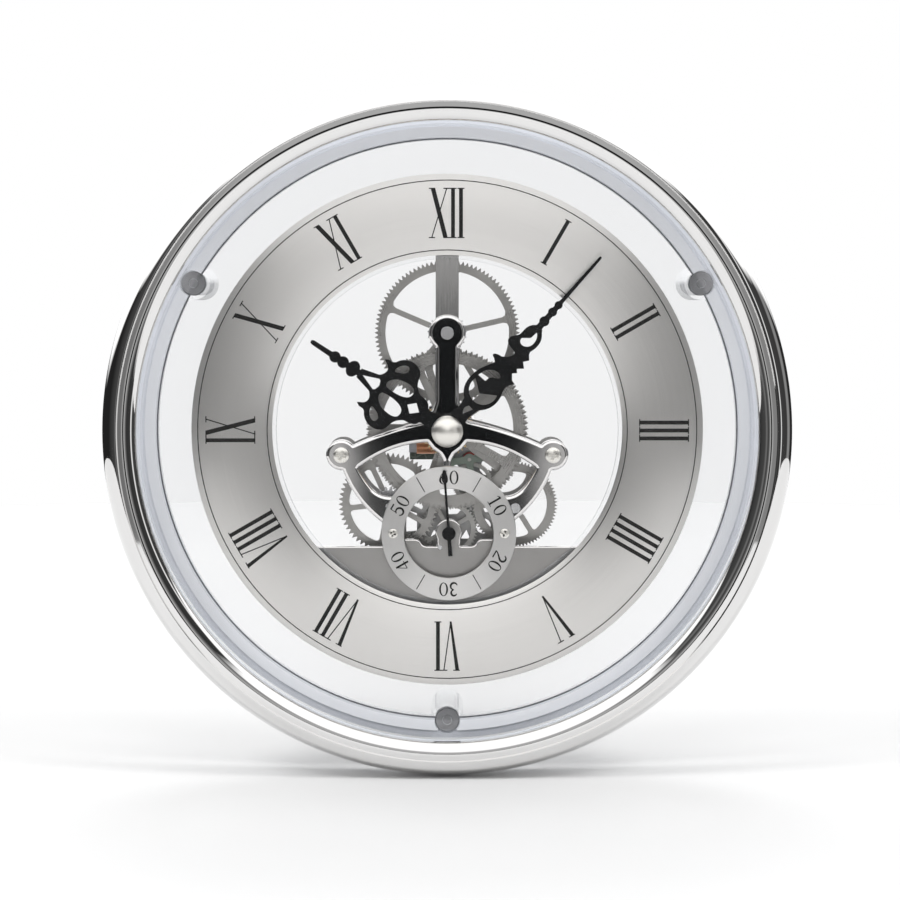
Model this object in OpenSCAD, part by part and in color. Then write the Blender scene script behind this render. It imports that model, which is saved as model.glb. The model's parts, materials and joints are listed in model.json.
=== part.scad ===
// Round quartz skeleton clock insert: chrome bezel, clear case, open gear movement.
// Millimetres. +Z is up, the dial faces -Y. The origin is on the clock's axis,
// in the plane where the bezel sits against the panel that it is let into.

/* [Case] */
// Outside diameter of the chrome bezel
bezel_d = 150; // [146:1:156]
// How far the bezel stands in front of the panel
bezel_h = 10; // [9.5:0.5:12]
// Outside diameter of the clear case, which goes through the panel
case_d = 137.6; // [136:0.2:138]
// Depth of the clear case behind the panel face
case_depth = 30; // [30:0.5:34]
// Wall thickness of the clear case
case_wall = 1.8; // [1.6:0.1:2.4]
// Thickness of the front glass
glass_t = 2; // [1.6:0.1:2.2]
// Radius of the circle of the three case screws
case_screw_r = 64.8; // [64:0.1:65]

/* [Dial] */
// Outside diameter of the chapter ring
chapter_d = 112.8; // [110:0.2:116]
// Inside diameter of the chapter ring
chapter_bore = 77.2; // [76:0.2:78]
// Height of the Roman numerals
numeral_h = 11; // [10:0.1:11.4]
// Thickness of the chapter ring
chapter_t = 0.5; // [0.4:0.1:0.6]
// Thickness of the clear dial plate
dial_plate_t = 2.5; // [2:0.1:2.5]

/* [Seconds dial] */
// Distance of the seconds dial below the centre
seconds_z = -22.8; // [-23:0.1:-22.6]
// Offset of the seconds dial to the right
seconds_x = 0.35; // [0:0.05:0.4]
// Outside diameter of the seconds dial
seconds_d = 29.8; // [29:0.2:30]
// Bore of the seconds dial
seconds_bore = 19.8; // [19.4:0.2:20.4]

/* [Hands] */
// Length of the minute hand from the centre
minute_len = 50.8; // [49:0.2:52]
// Length of the hour hand from the centre
hour_len = 35.8; // [34:0.2:36]
// Thickness of each hand
hand_t = 0.5; // [0.4:0.05:0.6]
// Minutes shown at rest
rest_minute = 6.9; // [0:0.05:59]
// Hours shown at rest
rest_hour = 10; // [0:1:11]
// Seconds shown at rest
rest_second = 59.3; // [0:0.1:60]

/* [Movement] */
// Height of the top wheel's arbor above the centre
top_z = 21.45; // [21:0.05:22]
// Position of the third wheel's arbor
third_at = [-13.05, -16.8];
// Position of the reduction wheel's arbor
reduction_at = [15.08, -17.27];
// Half distance between the two eyes of the bridge
eye_x = 23.4; // [23:0.1:24]
// Height of the eyes
eye_z = -5.5; // [-6:0.1:-5.2]
// Thickness of the front bridge
bridge_t = 2; // [1.8:0.1:2]
// Thickness of the rear plate
rear_t = 1.6; // [1.4:0.1:1.8]

/* [Power] */
// Length of the battery cell
cell_len = 49.5; // [49:0.1:50]
// Diameter of the battery cell
cell_d = 14; // [13.8:0.1:14.2]
// Height of the battery's axis
cell_z = -41; // [-41.5:0.1:-40.5]

/* [Hidden] */
$fn = 96;

// Depth of each layer, front to back
glass_y = 3.6 - bezel_h;
hour_hand_y = 1.5;
minute_hand_y = -0.5;
seconds_hand_y = 2.9;
chapter_y = 3.4;
dial_plate_y = chapter_y + chapter_t;
frame_y = 6.4;
bridge_y = frame_y - bridge_t;
seconds_dial_t = 0.7;
seconds_dial_y = bridge_y - seconds_dial_t;
bar_t = 1;
wheel_t = 0.8;
hour_wheel_y = 7.9;
top_wheel_y = 9.4;
centre_wheel_y = 10.9;
third_wheel_y = 12.4;
fine_wheel_t = 0.6;
fine_wheel_y = 13.9;
seconds_wheel_y = 15.1;
rear_y = 17;
rear_end = rear_y + rear_t;

// Radii of the case
bezel_r = bezel_d / 2;
case_r = case_d / 2;
case_in = case_r - case_wall;
ledge_r = 64.1;
ledge_t = 2.6;
glass_r = case_r + 1.4;
running = 0.05;

// Teeth of the motion work: 98/35 x 90/21 = 12
top_teeth = 98;
cannon_teeth = 35;
hour_teeth = 90;
top_pinion_teeth = 21;
// Teeth of the going train: 90/18 x 60/15 x 45/15 = 60, one idler between
centre_teeth = 90;
third_pinion_teeth = 18;
third_teeth = 60;
inter_pinion_teeth = 15;
inter_teeth = 45;
idler_teeth = 15;
seconds_pinion_teeth = 15;
// Teeth of the drive: 50/10 x 60/10 = 30 rotor turns to one of the seconds hand
seconds_teeth = 50;
reduction_teeth = 76;
fifth_pinion_teeth = 10;
fifth_teeth = 60;
rotor_teeth = 10;

// Arbor positions as [x, z]
centre_at = [0, 0];
top_at = [0, top_z];
seconds_at = [seconds_x, seconds_z];

function gap(a, b) = norm(b - a);
function heading(a, b) = atan2(b[1] - a[1], b[0] - a[0]);
function step_from(a, dist, angle) = a + dist * [cos(angle), sin(angle)];
// The point at distance ra from a and rb from b, on the right of the line a to b
function meet_right(a, ra, b, rb) =
    let (d = gap(a, b), u = (b - a) / d)
    let (s = (ra * ra - rb * rb + d * d) / (2 * d), h = sqrt(ra * ra - s * s))
    a + s * u + h * [u[1], -u[0]];
function pitch_mod(a, b, na, nb) = 2 * gap(a, b) / (na + nb);

top_mod = pitch_mod(centre_at, top_at, top_teeth, cannon_teeth);
hour_mod = pitch_mod(centre_at, top_at, hour_teeth, top_pinion_teeth);
centre_mod = pitch_mod(centre_at, third_at, centre_teeth, third_pinion_teeth);
third_mod = 0.3637;
inter_mod = 0.26;
reduction_mod = pitch_mod(seconds_at, reduction_at, seconds_teeth, reduction_teeth);
fifth_mod = 0.15;

idler_at = step_from(seconds_at, inter_mod * (idler_teeth + seconds_pinion_teeth) / 2, 240);
inter_at = meet_right(third_at, third_mod * (third_teeth + inter_pinion_teeth) / 2,
    idler_at, inter_mod * (inter_teeth + idler_teeth) / 2);
fifth_at = step_from(reduction_at, reduction_mod * (reduction_teeth + fifth_pinion_teeth) / 2, 152);
rotor_at = step_from(fifth_at, fifth_mod * (fifth_teeth + rotor_teeth) / 2, 97);
drive_post_at = [[9.4, -6.4], [0.3, -7.6]];

// Angle of tooth 0 of gear b, so that it meshes with gear a whose tooth 0 is at turn_a
function mesh_turn(at_a, turn_a, na, at_b, nb) =
    let (d = heading(at_a, at_b))
    d + 180 - (0.5 - (d - turn_a) * na / 360) * 360 / nb;
reduction_turn = mesh_turn(seconds_at, 0, seconds_teeth, reduction_at, reduction_teeth);
idler_turn = mesh_turn(inter_at, 0, inter_teeth, idler_at, idler_teeth);

// ---- layout helpers ----

// A 2-D outline drawn as (x, z), made solid from y0 over a thickness t
module plate(y0, t) {
    translate([0, y0 + t, 0]) rotate([90, 0, 0]) linear_extrude(t) children();
}

// Overlapping 2-D shapes as one clean outline; true circles are cut from it afterwards
module merged() {
    offset(delta = 0) children();
}

// A solid of revolution about the clock's axis from (radius, y) points
module turned(points) {
    rotate([90, 0, 0]) rotate_extrude() polygon([for (p = points) [p[0], -p[1]]]);
}

// A round bar along Y
module rod(at, r, y0, y1) {
    translate([at[0], y1, at[1]]) rotate([90, 0, 0]) cylinder(r = r, h = y1 - y0);
}

// A round tube along Y
module tube(at, r, bore, y0, y1) {
    difference() {
        rod(at, r, y0, y1);
        rod(at, bore, y0 - 1, y1 + 1);
    }
}

function arc(c, r, a0, a1, n) =
    [for (i = [0:n]) let (a = a0 + (a1 - a0) * i / n) c + r * [cos(a), sin(a)]];
function oval(c, rx, rz, a0, a1, n) =
    [for (i = [0:n]) let (a = a0 + (a1 - a0) * i / n) [c[0] + rx * cos(a), c[1] + rz * sin(a)]];
function bez(a, b, c, d, n) =
    [for (i = [0:n]) let (t = i / n, s = 1 - t)
        s * s * s * a + 3 * s * s * t * b + 3 * s * t * t * c + t * t * t * d];
function flip(points) = [for (i = [len(points) - 1:-1:0]) points[i]];
function mirrored(points) = [for (p = flip(points)) [-p[0], p[1]]];
function along(p, q) = (q - p) / norm(q - p);
function side(p, i) =
    let (a = p[max(i - 1, 0)], b = p[min(i + 1, len(p) - 1)], t = along(a, b)) [-t[1], t[0]];

// A stroke along points, its width going from w0 to w1, fattest wm in the middle
module stroke(points, w0, w1, wm = -1) {
    n = len(points) - 1;
    w = [for (i = [0:n]) let (t = i / n, base = w0 + (w1 - w0) * t)
        wm < 0 ? base : base + (wm - base) * sin(180 * t)];
    left = [for (i = [0:n]) points[i] + side(points, i) * w[i] / 2];
    right = [for (i = [0:n]) points[i] - side(points, i) * w[i] / 2];
    polygon(concat(left, flip(right)));
}

// ---- gears ----

pressure = 25;
function inv(a) = tan(a) * 180 / PI - a;
// Half the angle that a tooth fills at radius r
function half_tooth(n, m, r) =
    let (rp = n * m / 2, rb = rp * cos(pressure), at = max(r, rb * 1.0001))
    90 / n - 0.1 * m / rp * 180 / PI + inv(pressure) - inv(acos(rb / at));
function gear_radii(n, m) =
    let (rp = n * m / 2, root = rp - 1.25 * m)
    n < 27 ? [root, rp - 0.6 * m, rp, rp + 0.9 * m] : [root, rp, rp + m];
function gear_points(n, m) =
    let (radii = gear_radii(n, m), k = len(radii))
    [for (i = [0:n - 1], j = [0:2 * k - 1])
        let (r = radii[j < k ? j : 2 * k - 1 - j], h = half_tooth(n, m, r),
            a = 360 / n * i + (j < k ? -h : h))
        r * [cos(a), sin(a)]];

module gear_2d(at, n, m, turn) {
    translate(at) rotate(turn) polygon(gear_points(n, m));
}

// One opening between two spokes of a wheel, with its inner corners cut off
module spoke_gap(r_hub, r_rim, spoke_w, pitch_a) {
    hub_a = asin(spoke_w / 2 / r_hub);
    rim_a = asin(spoke_w / 2 / r_rim);
    c = 0.08 * r_rim;
    near_rim = asin(spoke_w / 2 / (r_rim - c));
    corner = c / r_rim * 180 / PI;
    polygon(concat(
        arc([0, 0], r_hub, pitch_a - hub_a, hub_a, 6),
        [(r_rim - c) * [cos(near_rim), sin(near_rim)]],
        [(r_rim - 0.3 * c) * [cos(rim_a + 0.3 * corner), sin(rim_a + 0.3 * corner)]],
        arc([0, 0], r_rim, rim_a + corner, pitch_a - rim_a - corner, 16),
        [(r_rim - 0.3 * c) * [cos(pitch_a - rim_a - 0.3 * corner),
            sin(pitch_a - rim_a - 0.3 * corner)]],
        [(r_rim - c) * [cos(pitch_a - near_rim), sin(pitch_a - near_rim)]]));
}

// A spoked wheel with a bore
module wheel(at, n, m, turn, y0, t, bore, r_hub, r_rim, spokes, spoke_w, spoke_turn) {
    pitch_a = 360 / spokes;
    plate(y0, t) difference() {
        gear_2d(at, n, m, turn);
        translate(at) for (i = [0:spokes - 1])
            rotate(spoke_turn + i * pitch_a) spoke_gap(r_hub, r_rim, spoke_w, pitch_a);
        translate(at) circle(bore);
    }
}

// An arbor with its pinion in one piece
module pinion_arbor(at, n, m, turn, y0, t, r, y_front, y_back) {
    union() {
        plate(y0, t) gear_2d(at, n, m, turn);
        rod(at, r, y_front, y_back);
    }
}

// ---- case ----

module bezel() {
    apex = 0.3 - bezel_h;
    lip_r = case_r - 1.5;
    facet_out = bezel_r - 3.75;
    facet_in = facet_out - 0.8;
    facet_y = 0.7 - bezel_h;
    color("silver") turned(concat(
        [[glass_r + 0.1, 0], [bezel_r - 1, 0]],
        oval([bezel_r - 3, -3.6], 3, 3.6, 80, 10, 6),
        oval([bezel_r - 3.4, -3.6], 3.4, bezel_h - 3.6, 0, -90, 18),
        [[facet_out + 0.12, apex], [facet_out, facet_y], [facet_in, facet_y]],
        oval([facet_in, glass_y], facet_in - lip_r, glass_y - facet_y, -90, -180, 14),
        [[glass_r + 0.1, glass_y]]));
}

module front_glass() {
    color("lightcyan", 0.3) rod(centre_at, glass_r, glass_y, glass_y + glass_t);
}

gasket_end = -2.8;
module glass_gasket() {
    color("gray") tube(centre_at, glass_r, case_r - 1.2, glass_y + glass_t, gasket_end);
}

function case_screw_at(i) = case_screw_r * [cos(30 + 120 * i), sin(30 + 120 * i)];
knob_hole_r = 6.4;
insert_end = frame_y + ledge_t;
screw_seat = insert_end + 1;
module rear_case() {
    back_in = case_depth - case_wall;
    color("whitesmoke", 0.35) difference() {
        union() {
            turned([[glass_r, gasket_end], [glass_r, -0.1], [case_r, -0.1],
                [case_r, case_depth - 1.2], [case_r - 1.2, case_depth], [0, case_depth],
                [0, back_in], [case_in, back_in], [case_in, frame_y + ledge_t],
                [ledge_r, frame_y + ledge_t], [ledge_r, frame_y], [case_in, frame_y],
                [case_in, gasket_end]]);
            for (i = [0:2]) intersection() {
                rod(case_screw_at(i), 3.7, frame_y, case_depth - 0.1);
                rod(centre_at, case_r - 0.1, frame_y, case_depth);
            }
        }
        for (i = [0:2]) {
            rod(case_screw_at(i), 2.75, frame_y - 1, insert_end + 0.1);
            rod(case_screw_at(i), 1.3, insert_end, screw_seat + 1);
            rod(case_screw_at(i), 2.6, screw_seat, case_depth + 1);
        }
        rod(centre_at, knob_hole_r, back_in - 1, case_depth + 1);
        translate([-cell_len / 2 - 3, back_in - 1, cell_z - cell_d / 2 - 0.6])
            cube([cell_len + 6, case_wall + 2, cell_d + 1.2]);
    }
}

module case_inserts() {
    color("gray") for (i = [0:2])
        tube(case_screw_at(i), 2.7, 1, frame_y + 0.2, insert_end);
}

// A screw head with a cross recess, its face towards -Y for dir 1 and +Y for dir -1
module cross_screw(at, r_head, t_head, r_shank, y_head, y_tip, dir) {
    face = y_head;
    under = y_head + dir * t_head;
    difference() {
        union() {
            rod(at, r_head, min(face, under), max(face, under));
            rod(at, r_shank, min(under, y_tip), max(under, y_tip));
        }
        for (a = [0, 90]) translate([at[0], face, at[1]]) rotate([0, a + 20, 0])
            cube([1.3 * r_head, t_head, 0.3 * r_head], center = true);
    }
}

module case_screws() {
    color("silver") for (i = [0:2])
        cross_screw(case_screw_at(i), 1.9, 1.2, 0.98, screw_seat + 1.25, 7, -1);
}

// ---- dial ----

chapter_r = chapter_d / 2;
chapter_in = chapter_bore / 2;
dial_open_r = chapter_in - 0.8;
bar_hole = [0, 43];
cover_hole_x = 21;
cover_hole_z = -36.8;

module dial_plate() {
    color("white", 0.3) difference() {
        tube(centre_at, case_in - 0.2, dial_open_r, dial_plate_y, frame_y);
        rod(bar_hole, 0.85, frame_y - 2, frame_y + 1);
        for (s = [-1, 1]) rod([s * cover_hole_x, cover_hole_z], 0.85, frame_y - 2, frame_y + 1);
    }
}

module chapter_ring() {
    bevel = 0.25;
    color("lightgray") turned([[chapter_in, dial_plate_y], [chapter_in, chapter_y + bevel],
        [chapter_in + 0.7, chapter_y], [chapter_r - 0.9, chapter_y],
        [chapter_r, chapter_y + bevel], [chapter_r, dial_plate_y]]);
}

print_t = 0.05;
line_w = 0.2;
module chapter_lines() {
    color("black") for (r = [chapter_in + 1.1, chapter_r - 1.4])
        tube(centre_at, r + line_w / 2, r - line_w / 2, chapter_y - print_t, chapter_y);
}

// Roman numerals, built from bars; each glyph is [kind, width]
thick = 0.85;
thin = 0.24;
function glyph_w(g) = g == "I" ? 1.75 : g == "V" ? 4.1 : 4.3;
module glyph(g) {
    h = numeral_h / 2;
    w = glyph_w(g) / 2 - 0.35;
    if (g == "I") {
        square([thick, 2 * h], center = true);
        for (s = [-1, 1]) translate([0, s * (h - thin / 2)]) square([1.55, thin], center = true);
    }
    if (g == "V") {
        polygon([[-w - 0.1, h], [-w + thick - 0.1, h], [0.35, -h], [-0.1, -h]]);
        polygon([[w - 0.2, h], [w + 0.05, h], [0.22, -h], [-0.02, -h]]);
        for (s = [-1, 1]) translate([s * (w - 0.2) + (s < 0 ? 0.3 : 0.1), h - thin / 2])
            square([1.5, thin], center = true);
    }
    if (g == "X") {
        polygon([[-w - 0.1, h], [-w + thick + 0.05, h], [w + 0.1, -h], [w - thick - 0.05, -h]]);
        polygon([[w - 0.25, h], [w, h], [-w + 0.25, -h], [-w, -h]]);
        for (sx = [-1, 1], sy = [-1, 1])
            translate([sx * (w - 0.2), sy * (h - thin / 2)]) square([1.35, thin], center = true);
    }
}
ROMAN = ["I", "II", "III", "IIII", "V", "VI", "VII", "VIII", "IX", "X", "XI", "XII"];
function width_to(s, k) = k == 0 ? 0 : width_to(s, k - 1) + glyph_w(s[k - 1]);
module roman(s) {
    total = width_to(s, len(s));
    for (k = [0:len(s) - 1])
        translate([width_to(s, k) + glyph_w(s[k]) / 2 - total / 2, 0]) glyph(s[k]);
}
numeral_r = 47.8;
module hour_numerals() {
    color("black") plate(chapter_y - print_t, print_t) merged() for (i = [1:12])
        rotate(-30 * i) translate([0, numeral_r]) roman(ROMAN[i - 1]);
}

// ---- frame ----

hub_r = 5.15;
boss_r = 4.1;
eye_r = 3.4;
arm_w = 5.2;
sub_out = 14.2;
sub_in = 10.6;

arm_top = bez([-4.4, 2.2], [-9, 1.1], [-15, -0.4], [-21.6, -3.6], 12);
arm_under = concat([[-21.2, -8]], bez([-19.8, -8.4], [-14.5, -4.6], [-10, -3], [-4.2, -2.7], 12));
lower_out = bez([-23.3, -8.4], [-21.6, -13.2], [-18.6, -17.8], [-12.4, -21.9], 12);
lower_in = bez([-11.6, -14.7], [-15.8, -14.9], [-17.4, -13], [-20.6, -6.6], 12);

module both_sides() {
    children();
    mirror([1, 0, 0]) children();
}

// The arms that the bridge and the rear plate share
module frame_arms() {
    circle(hub_r);
    translate(top_at) circle(boss_r);
    translate([-arm_w / 2, 0]) square([arm_w, top_z]);
    both_sides() {
        translate([eye_x, eye_z]) circle(eye_r);
        polygon(concat(arm_top, arm_under));
        polygon(concat(lower_out, lower_in));
        polygon([[-2.6, 6.4], [-3.2, 4.6], [-4.4, 3.4], [-2, 2], [-1, 6.4]]);
        polygon([[-0.85, -9.5], [-0.9, -6.6], [-1.6, -5.4], [-3.6, -3.9], [0, -3], [0, -9.5]]);
    }
}

module front_bridge() {
    color("dimgray") plate(bridge_y, bridge_t) difference() {
        merged() {
            frame_arms();
            intersection() {
                translate(seconds_at) difference() {
                    circle(sub_out);
                    circle(sub_in);
                }
                translate([-20, -25.6]) square([40, 20]);
            }
        }
        circle(2.35);
        translate(top_at) circle(1.4 + running);
        both_sides() translate([eye_x, eye_z]) circle(1.05);
        translate(third_at) circle(0.6 + running);
        translate(reduction_at) circle(1.1 + running);
        for (s = [-1, 1]) translate(seconds_at + [s * 12.3, 0]) circle(0.75);
    }
}

module top_bar() {
    color("darkgray") plate(frame_y, bar_t) difference() {
        translate([-arm_w / 2 + 0.05, top_z - 3]) square([arm_w - 0.1, 45 - top_z + 3]);
        translate(top_at) circle(1.4 + running);
        translate(bar_hole) circle(0.85);
    }
}

cover_edge = -25.9;
cover_r = 46;
lower_pillar = [19, -29];
// The cover's top edge inside the seconds dial, its left half, from the dial's axis
rim_half = concat([[-10.2, -4], [-10.2, -1.5]],
    bez([-7.4, -1.5], [-6, -1.5], [-6.4, -3.1], [-4.9, -3.1], 6), [[-2.5, -3.1], [-2.6, -1.5]]);
cover_rim = concat(rim_half, arc([0, 0], 3, 210, -30, 20), mirrored(rim_half));

module lower_cover() {
    color("darkgray") plate(frame_y, bar_t) difference() {
        merged() {
            intersection() {
                circle(cover_r);
                translate([-50, -50]) square([100, 50 + cover_edge]);
            }
            intersection() {
                translate(seconds_at) circle(10.3);
                translate(seconds_at) polygon(cover_rim);
            }
        }
        translate(seconds_at) circle(0.6 + running);
        translate(idler_at) circle(0.55);
        translate(inter_at) circle(0.55 + running);
        for (s = [-1, 1]) translate([s * cover_hole_x, cover_hole_z]) circle(0.85);
    }
}

bush_r = 1.5;
function bushed() = [[centre_at, 0.9], [top_at, 0.7], [third_at, 0.6], [inter_at, 0.55],
    [seconds_at, 0.6], [reduction_at, 0.6], [fifth_at, 0.4], [rotor_at, 0.4]];

// Windows behind the seconds dial, from its axis
rear_windows = [[[-9.6, -0.8], [-9.6, 3.4], [-8.9, 3.9], [-7.2, 3.4], [-7.2, -0.6]],
    [[-8.4, 5.4], [-6.9, 6.7], [-5.2, 6.4], [-6.1, 4.2]],
    [[-4.7, 3.2], [-3, 4.8], [-3.5, 2.7]],
    [[-0.2, 3.1], [-0.2, 4.9], [0.9, 5.4], [2.8, 5], [2.9, 4.2], [1.9, 3.2]],
    [[2.7, -2.4], [4.8, -2.4], [4, -0.4]],
    [[-4.3, -2.4], [-2.5, -2.4], [-2.5, -0.8], [-3.4, -0.5]],
    [[7.3, 6.9], [7.3, 5.6], [8.2, 3.6], [9.4, 3.6]]];

module rear_plate() {
    color("gray") plate(rear_y, rear_t) difference() {
        merged() difference() {
            union() {
                frame_arms();
                intersection() {
                    translate(seconds_at) circle(sub_out - 0.4);
                    translate([-20, -31.8]) square([40, 16]);
                }
                translate(fifth_at) circle(3);
                translate(rotor_at) circle(3);
                translate([2.6, -17]) square([4.8, 10]);
                translate([-21.5, -31.8]) square([43, 4.6]);
            }
            for (w = rear_windows) translate(seconds_at) polygon(w);
            translate(seconds_at + [7.8, 0.5]) circle(1.7);
        }
        for (b = bushed()) translate(b[0]) circle(bush_r);
        both_sides() translate([eye_x, eye_z]) circle(1.05);
        for (s = [-1, 1]) translate([s * lower_pillar[0], lower_pillar[1]]) circle(1.05);
        for (p = drive_post_at) translate(p) circle(0.55);
    }
}

module pillars() {
    color("silver") {
        for (s = [-1, 1]) {
            tube([s * eye_x, eye_z], 2.2, 0.9, frame_y, rear_y);
            difference() {
                rod([s * lower_pillar[0], lower_pillar[1]], 1.5, frame_y + bar_t, rear_y);
                rod([s * lower_pillar[0], lower_pillar[1]], 0.8, rear_y - 4, rear_y + 1);
            }
        }
    }
}

module pillar_screws() {
    color("silver") for (s = [-1, 1]) {
        cross_screw([s * eye_x, eye_z], 1.75, 1, 0.85, bridge_y - 1, frame_y + 4, 1);
        cross_screw([s * eye_x, eye_z], 1.75, 1, 0.85, rear_end + 1, rear_y - 4, -1);
        cross_screw([s * lower_pillar[0], lower_pillar[1]], 1.6, 0.8, 0.75, rear_end + 0.8,
            rear_y - 3, -1);
    }
}

module frame_screws() {
    back = frame_y + bar_t;
    color("silver") {
        cross_screw(bar_hole, 1.6, 0.9, 0.8, back + 0.9, frame_y - 1.9, -1);
        for (s = [-1, 1])
            cross_screw([s * cover_hole_x, cover_hole_z], 1.6, 0.9, 0.8, back + 0.9,
                frame_y - 1.9, -1);
    }
}

module arbor_bushes() {
    color("goldenrod") for (b = bushed())
        tube(b[0], bush_r - 0.01, b[1] + running, rear_y, rear_end + 0.3);
}

// ---- centre arbor and hands ----

cannon_r = 1.6;
pipe_r = 2.3;
nut_y = minute_hand_y - 2.9;
knob_y = case_depth - 3.6;
knob_end = case_depth + 3;
minute_angle = 90 - 6 * rest_minute;
hour_angle = 90 - 30 * rest_hour - rest_minute / 2;
second_angle = 90 - 6 * rest_second;

module centre_arbor() {
    color("silver") rod(centre_at, 0.9, nut_y + 1, knob_end - 1);
}

module centre_wheel() {
    color("darkgray") union() {
        wheel(centre_at, centre_teeth, centre_mod, heading(centre_at, third_at),
            centre_wheel_y, wheel_t, 2.2, 3.2, 14.9, 5, 1.7, 35);
        tube(centre_at, 2.6, 0.92, centre_wheel_y, centre_wheel_y + wheel_t + 1);
    }
}

module cannon_pinion() {
    color("goldenrod") difference() {
        union() {
            plate(top_wheel_y - 0.1, wheel_t + 0.2)
                gear_2d(centre_at, cannon_teeth, top_mod, heading(centre_at, top_at));
            rod(centre_at, cannon_r, minute_hand_y, top_wheel_y);
        }
        rod(centre_at, 0.92, minute_hand_y - 1, top_wheel_y + 3);
    }
}

// The minute hand's outline above and below its middle line, drawn along +X
minute_top = concat([[2.2, 1.8], [6, 1.7], [8, 2.1]],
    bez([8, 2.1], [9.4, 4.2], [12, 4.6], [15, 3.8], 9),
    [[17, 2.85], [18.3, 2.25], [18.8, 2.9]],
    bez([18.8, 2.9], [19.3, 4.7], [20.1, 3], [20.2, 1.9], 6),
    bez([20.4, 1.6], [21.1, 0.5], [22.4, -0.2], [22.8, 0.5], 6),
    bez([22.9, 0.9], [23, 3.2], [24, 4.2], [25.8, 2.6], 8),
    bez([26, 2.4], [26.8, 1.6], [28.8, 2.9], [30.4, 0.75], 8));
minute_under = concat([[30.4, -0.9]], bez([29.8, -1.3], [28.6, -2.6], [27, -2.8], [25, -2.1], 7),
    [[24.4, -2.35], [23.5, -3.2], [22.4, -2.4], [21.4, -3.5], [20.3, -2.35], [19.7, -3.05],
    [18.9, -2.25], [17.7, -3.3], [17.5, -4.3], [16.5, -3.5], [15.5, -3.2]],
    bez([14.4, -3.4], [12, -4.6], [9.4, -3.8], [8, -2.1], 8), [[6, -1.6], [2.4, -1.5]]);
minute_crescent = concat(arc([12, 0], 3.2, 75, 290, 14), [[10.9, 0.2]]);
minute_window = concat([[13.8, 3.1]], bez([15.3, 2.7], [17, 1.8], [17.5, 0], [16.6, -1], 6),
    [[15.9, -0.6], [15.4, 0.4], [14.8, 0.9], [13.8, 1.05]]);
minute_loop = concat(bez([26.1, 1.3], [25, 1.4], [24.6, 0.1], [25.4, -0.8], 6),
    bez([25.6, -1], [26.4, -1.8], [28.4, -1.6], [29.2, -0.4], 6), [[27.4, -0.2], [26.7, 0.6]]);

module minute_shape() {
    difference() {
        merged() difference() {
            union() {
                circle(2.9);
                polygon(concat(minute_top, minute_under));
                for (b = [[32.1, 1.1], [34.8, 0.98], [36.8, 0.88]])
                    translate([b[0], 0]) circle(b[1]);
                stroke([[29.8, 0], [36, 0], [38.4, 0]], 1.5, 0.85);
                stroke([[38, 0], [minute_len - 0.4, 0], [minute_len, 0]], 0.85, 0.4);
            }
            polygon(minute_crescent);
            polygon(minute_window);
            polygon(minute_loop);
            polygon([[5.2, 0], [6.3, 0.75], [7.4, 0.2], [7.3, -1]]);
        }
        circle(cannon_r + 0.02);
    }
}

module minute_hand() {
    color("black") plate(minute_hand_y, hand_t) rotate(minute_angle) minute_shape();
}

// The hour hand's outline above its middle line, drawn along +X
hour_half = concat([[2, 2.2], [5.4, 1.6], [6.2, 1.8]],
    bez([6.3, 2.1], [6.8, 3], [7.6, 3.2], [9.2, 3.3], 5),
    bez([9.6, 3.5], [11, 4.4], [11.2, 5.2], [11.5, 6.4], 5),
    bez([11.6, 6.8], [12.4, 9], [16.4, 9.1], [17.7, 6.4], 10),
    [[18.2, 6.1], [19.2, 6.1], [20.1, 5.6]],
    bez([19.4, 5.2], [18, 4.7], [17.9, 3.2], [19.2, 2.1], 7), [[23.2, 1.1]]);
hour_leaf = concat(bez([10.7, 2.6], [10.7, 4.3], [13, 4.1], [14.6, 3.7], 6),
    bez([14.9, 3.6], [16.4, 3], [17.5, 1.6], [16.5, 0.75], 6),
    bez([16.2, 0.7], [15, 0.5], [10.8, 0.4], [10.7, 2.4], 8));
hour_eye = concat(bez([14.2, 6], [14.2, 7.6], [15.6, 7.4], [16.6, 5.9], 6),
    bez([16.7, 5.6], [17.2, 4.6], [16.8, 4.3], [16, 4.75], 4), [[14.9, 5.2]]);

module hour_shape() {
    difference() {
        merged() difference() {
            union() {
                circle(3.6);
                polygon(concat(hour_half, [for (p = flip(hour_half)) [p[0], -p[1]]]));
                polygon(oval([24.8, 0], 1.45, 1.85, 4, 356, 28));
                for (b = [[27.4, 1.3], [29.5, 1.25]]) translate([b[0], 0]) circle(b[1]);
                stroke([[22.6, 0], [hour_len - 0.5, 0], [hour_len, 0]], 1.5, 0.6);
            }
            both_sides_x() {
                polygon(hour_leaf);
                polygon(hour_eye);
            }
            polygon([[17.9, 0], [18.3, 1.1], [18.7, 1.35], [22.2, 0], [18.7, -1.35],
                [18.3, -1.1]]);
            polygon([[7.4, 0], [9, 1.4], [10.5, 0], [9, -1.4]]);
        }
        circle(pipe_r + 0.02);
    }
}

module both_sides_x() {
    children();
    mirror([0, 1, 0]) children();
}

module hour_hand() {
    color("black") plate(hour_hand_y, hand_t) rotate(hour_angle) hour_shape();
}

module cap_nut() {
    color("silver") difference() {
        turned(concat([[0, minute_hand_y]], [[3.45, minute_hand_y]],
            oval([0, minute_hand_y - 0.8], 3.45, 2.1, 0, -90, 12)));
        rod(centre_at, 0.92, nut_y + 0.9, minute_hand_y + 1);
    }
}

module set_knob() {
    ridges = 24;
    color("dimgray") difference() {
        plate(knob_y, knob_end - knob_y)
            polygon([for (i = [0:2 * ridges - 1]) let (a = 180 / ridges * i)
                (i % 2 == 0 ? 5.9 : 5.5) * [cos(a), sin(a)]]);
        rod(centre_at, 0.92, knob_y - 1, knob_end - 0.9);
    }
}

module hour_wheel() {
    color("darkgray") wheel(centre_at, hour_teeth, hour_mod, heading(centre_at, top_at),
        hour_wheel_y, wheel_t, pipe_r + 0.01, 3.6, 14.7, 5, 1.7, 43);
}

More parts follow.
